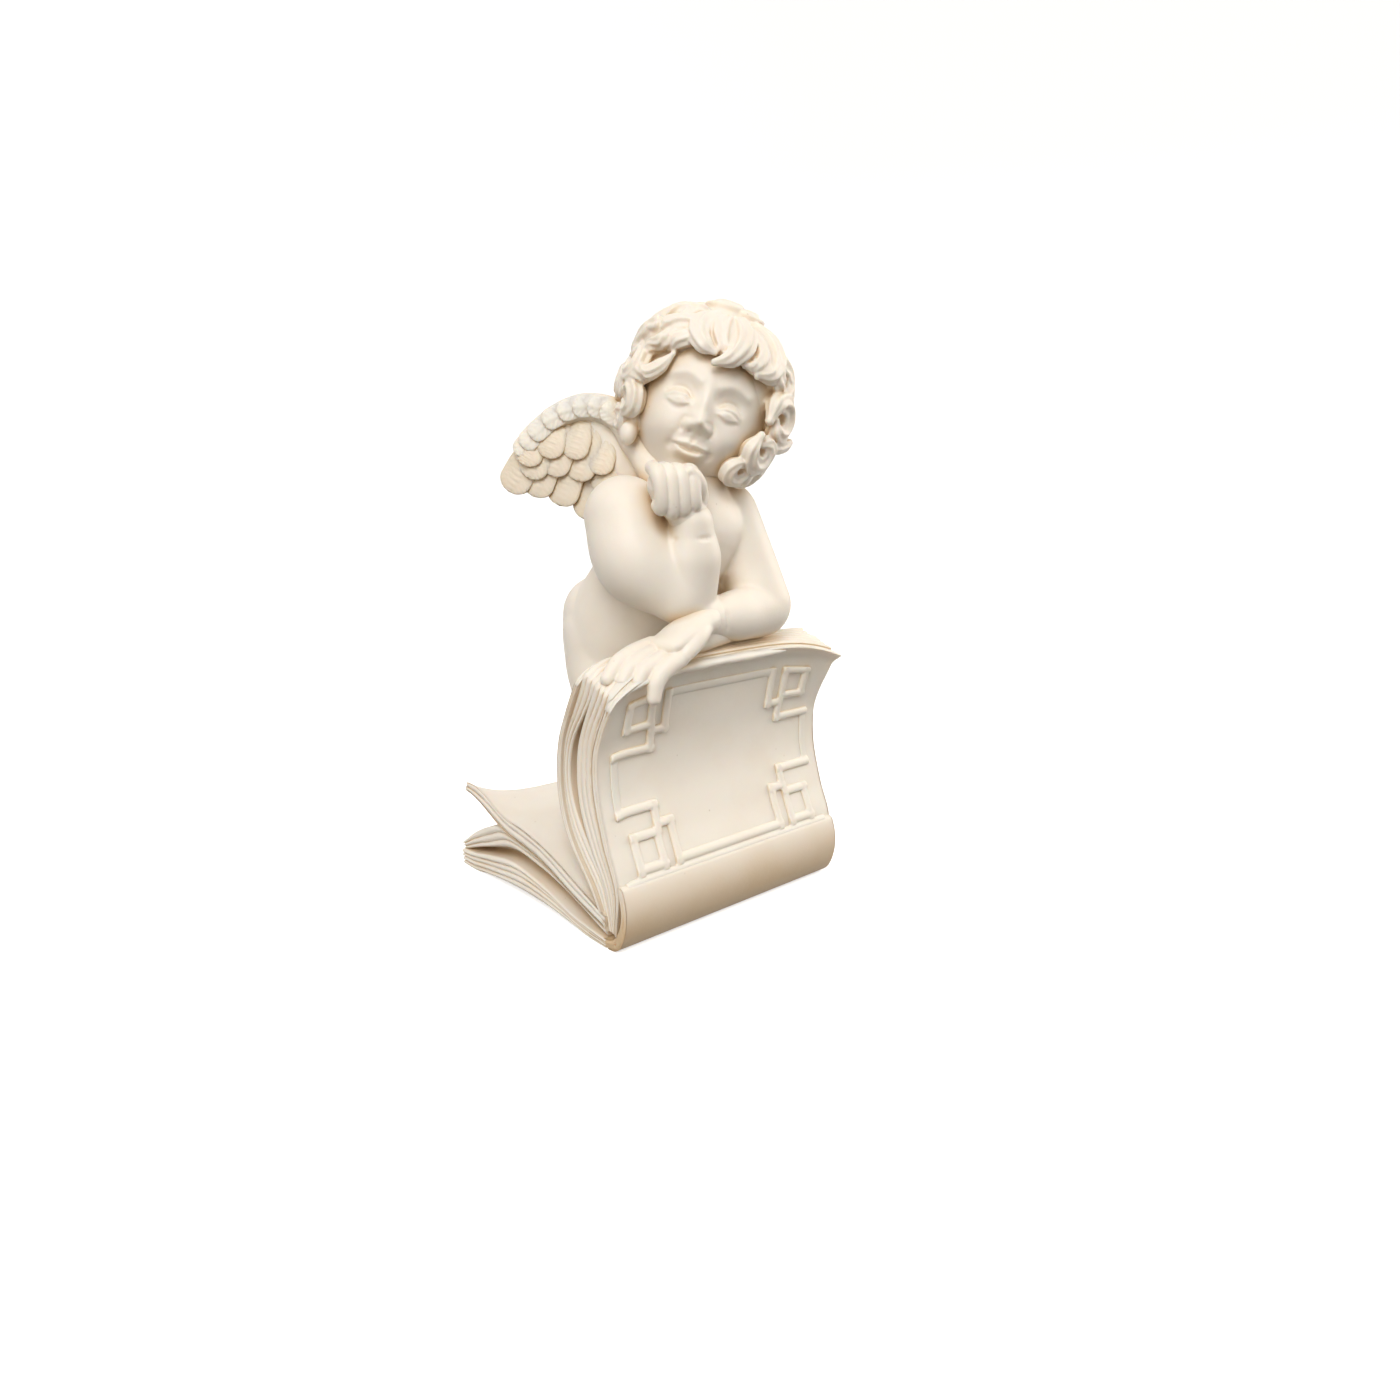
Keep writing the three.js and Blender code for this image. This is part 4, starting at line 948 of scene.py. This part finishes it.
ivory = castIvory("castIvory")
# Painted shade: the round spine darkens towards the ground, for the shade under its roll
footShadedIvory = castIvory("castIvoryFootShade", foot=1.1)
for piece in bookPieces:
    finish(piece, footShadedIvory if piece.name == "roundSpine" else ivory, 50)
for piece in [*bodyPieces, *headPieces, *wingArms]:
    finish(piece, ivory)
# Painted shade: the feathers get a darker, warmer copy of the ivory, for the shade their faces stand in
shadedFeatherIvory = castIvory("castIvoryShadedFeathers", paintedShade=0.36)
for piece in wingFeathers:
    finish(piece, shadedFeatherIvory)


# The floor turns up into a wall all round, so that every view has a plain pale ground
print("Studio")


def studioFloor():
    studio = {"flat": 0.9, "bend": 0.5, "wall": 1.9, "sides": 96, "steps": 16}
    deselect()
    bpy.ops.mesh.primitive_circle_add(vertices=studio["sides"], radius=studio["flat"], fill_type="TRIFAN")
    floor = bpy.context.object
    floor.name = "studioFloor"
    bpy.ops.object.mode_set(mode="EDIT")
    bpy.ops.mesh.select_all(action="SELECT")
    bpy.ops.mesh.region_to_loop()
    before = (studio["flat"], 0)
    for k in range(1, studio["steps"] + 2):
        turn = min(k, studio["steps"]) / studio["steps"] * math.pi / 2
        radius = studio["flat"] + studio["bend"] * math.sin(turn)
        height = studio["bend"] * (1 - math.cos(turn)) + (studio["wall"] if k > studio["steps"] else 0)
        bpy.ops.mesh.extrude_edges_move(TRANSFORM_OT_translate={"value": (0, 0, height - before[1])})
        grow = radius / before[0]
        bpy.ops.transform.resize(value=(grow, grow, 1), center_override=(0, 0, 0))
        before = (radius, height)
    bpy.ops.mesh.select_all(action="SELECT")
    bpy.ops.mesh.normals_make_consistent(inside=True)
    bpy.ops.object.mode_set(mode="OBJECT")
    bpy.ops.object.shade_smooth()
    floor.data.materials.append(plainWhite("floorWhite", (0.95, 0.95, 0.95, 1), 0.9))
    floor.visible_diffuse = False  # it would light the cherub from below


def softBox(name, spot, aim, size, power, tint=(1, 1, 1)):
    bpy.ops.object.light_add(type="AREA", location=spot)
    light = bpy.context.object
    light.name = name
    light.data.size = size
    light.data.energy = power
    light.data.color = tint
    light.rotation_euler = (Vector(aim) - Vector(spot)).to_track_quat("-Z", "Y").to_euler()


studioFloor()
middle, warmWhite = (0, 0, 0.06), (1, 0.91, 0.81)
softBox("keyLight", (-0.48, -0.46, 0.72), middle, 0.4, 4.15)
softBox("frontLight", (-0.8, -0.42, 0.4), middle, 0.5, 2.1, warmWhite)
softBox("sideLight", (0.75, -0.25, 0.3), middle, 0.5, 3.2, warmWhite)


# Bright above and dimmer below, as over a dark table
def studioAir():
    air = {"above": 0.6, "below": 0.08, "horizon": 0.4, "colour": (1, 0.94, 0.87, 1)}
    look = Look(bpy.data.worlds.new("studioAir"))
    towards = look.add("ShaderNodeTexCoord", {}, {}, "Generated")
    height = look.add("ShaderNodeSeparateXYZ", {}, {"Vector": towards}, "Z")
    strength = look.add("ShaderNodeMapRange", {}, {
        "Value": height, "From Min": -air["horizon"], "From Max": air["horizon"], "To Min": air["below"],
        "To Max": air["above"],
    })
    sky = look.add("ShaderNodeBackground", {}, {"Color": air["colour"], "Strength": strength})
    look.add("ShaderNodeOutputWorld", {}, {"Surface": sky})
    bpy.context.scene.world = look.owner


studioAir()
bpy.context.scene.view_settings.view_transform = "Standard"


# The camera stands where the photograph was taken from
def photographView():
    view = {"place": (-132.85, -167.80, 92.47), "azimuth": -41.684, "elevation": 13.832, "focus": 1000.2,
            "side": 1400, "sensor": 36}
    azimuth, elevation = math.radians(view["azimuth"]), math.radians(view["elevation"])
    right = Vector((math.cos(azimuth), math.sin(azimuth), 0))
    back = Vector((math.sin(azimuth) * math.cos(elevation), -math.cos(azimuth) * math.cos(elevation),
                   math.sin(elevation)))
    turned = Matrix((right, back.cross(right), back)).transposed().to_4x4()
    bpy.ops.object.camera_add()
    camera = bpy.context.object
    camera.matrix_world = Matrix.Translation(Vector(view["place"]) * millimetre) @ turned
    camera.data.sensor_width = view["sensor"]
    camera.data.lens = view["focus"] * view["sensor"] / view["side"]
    camera.data.clip_start = 0.01
    bpy.context.scene.camera = camera


photographView()
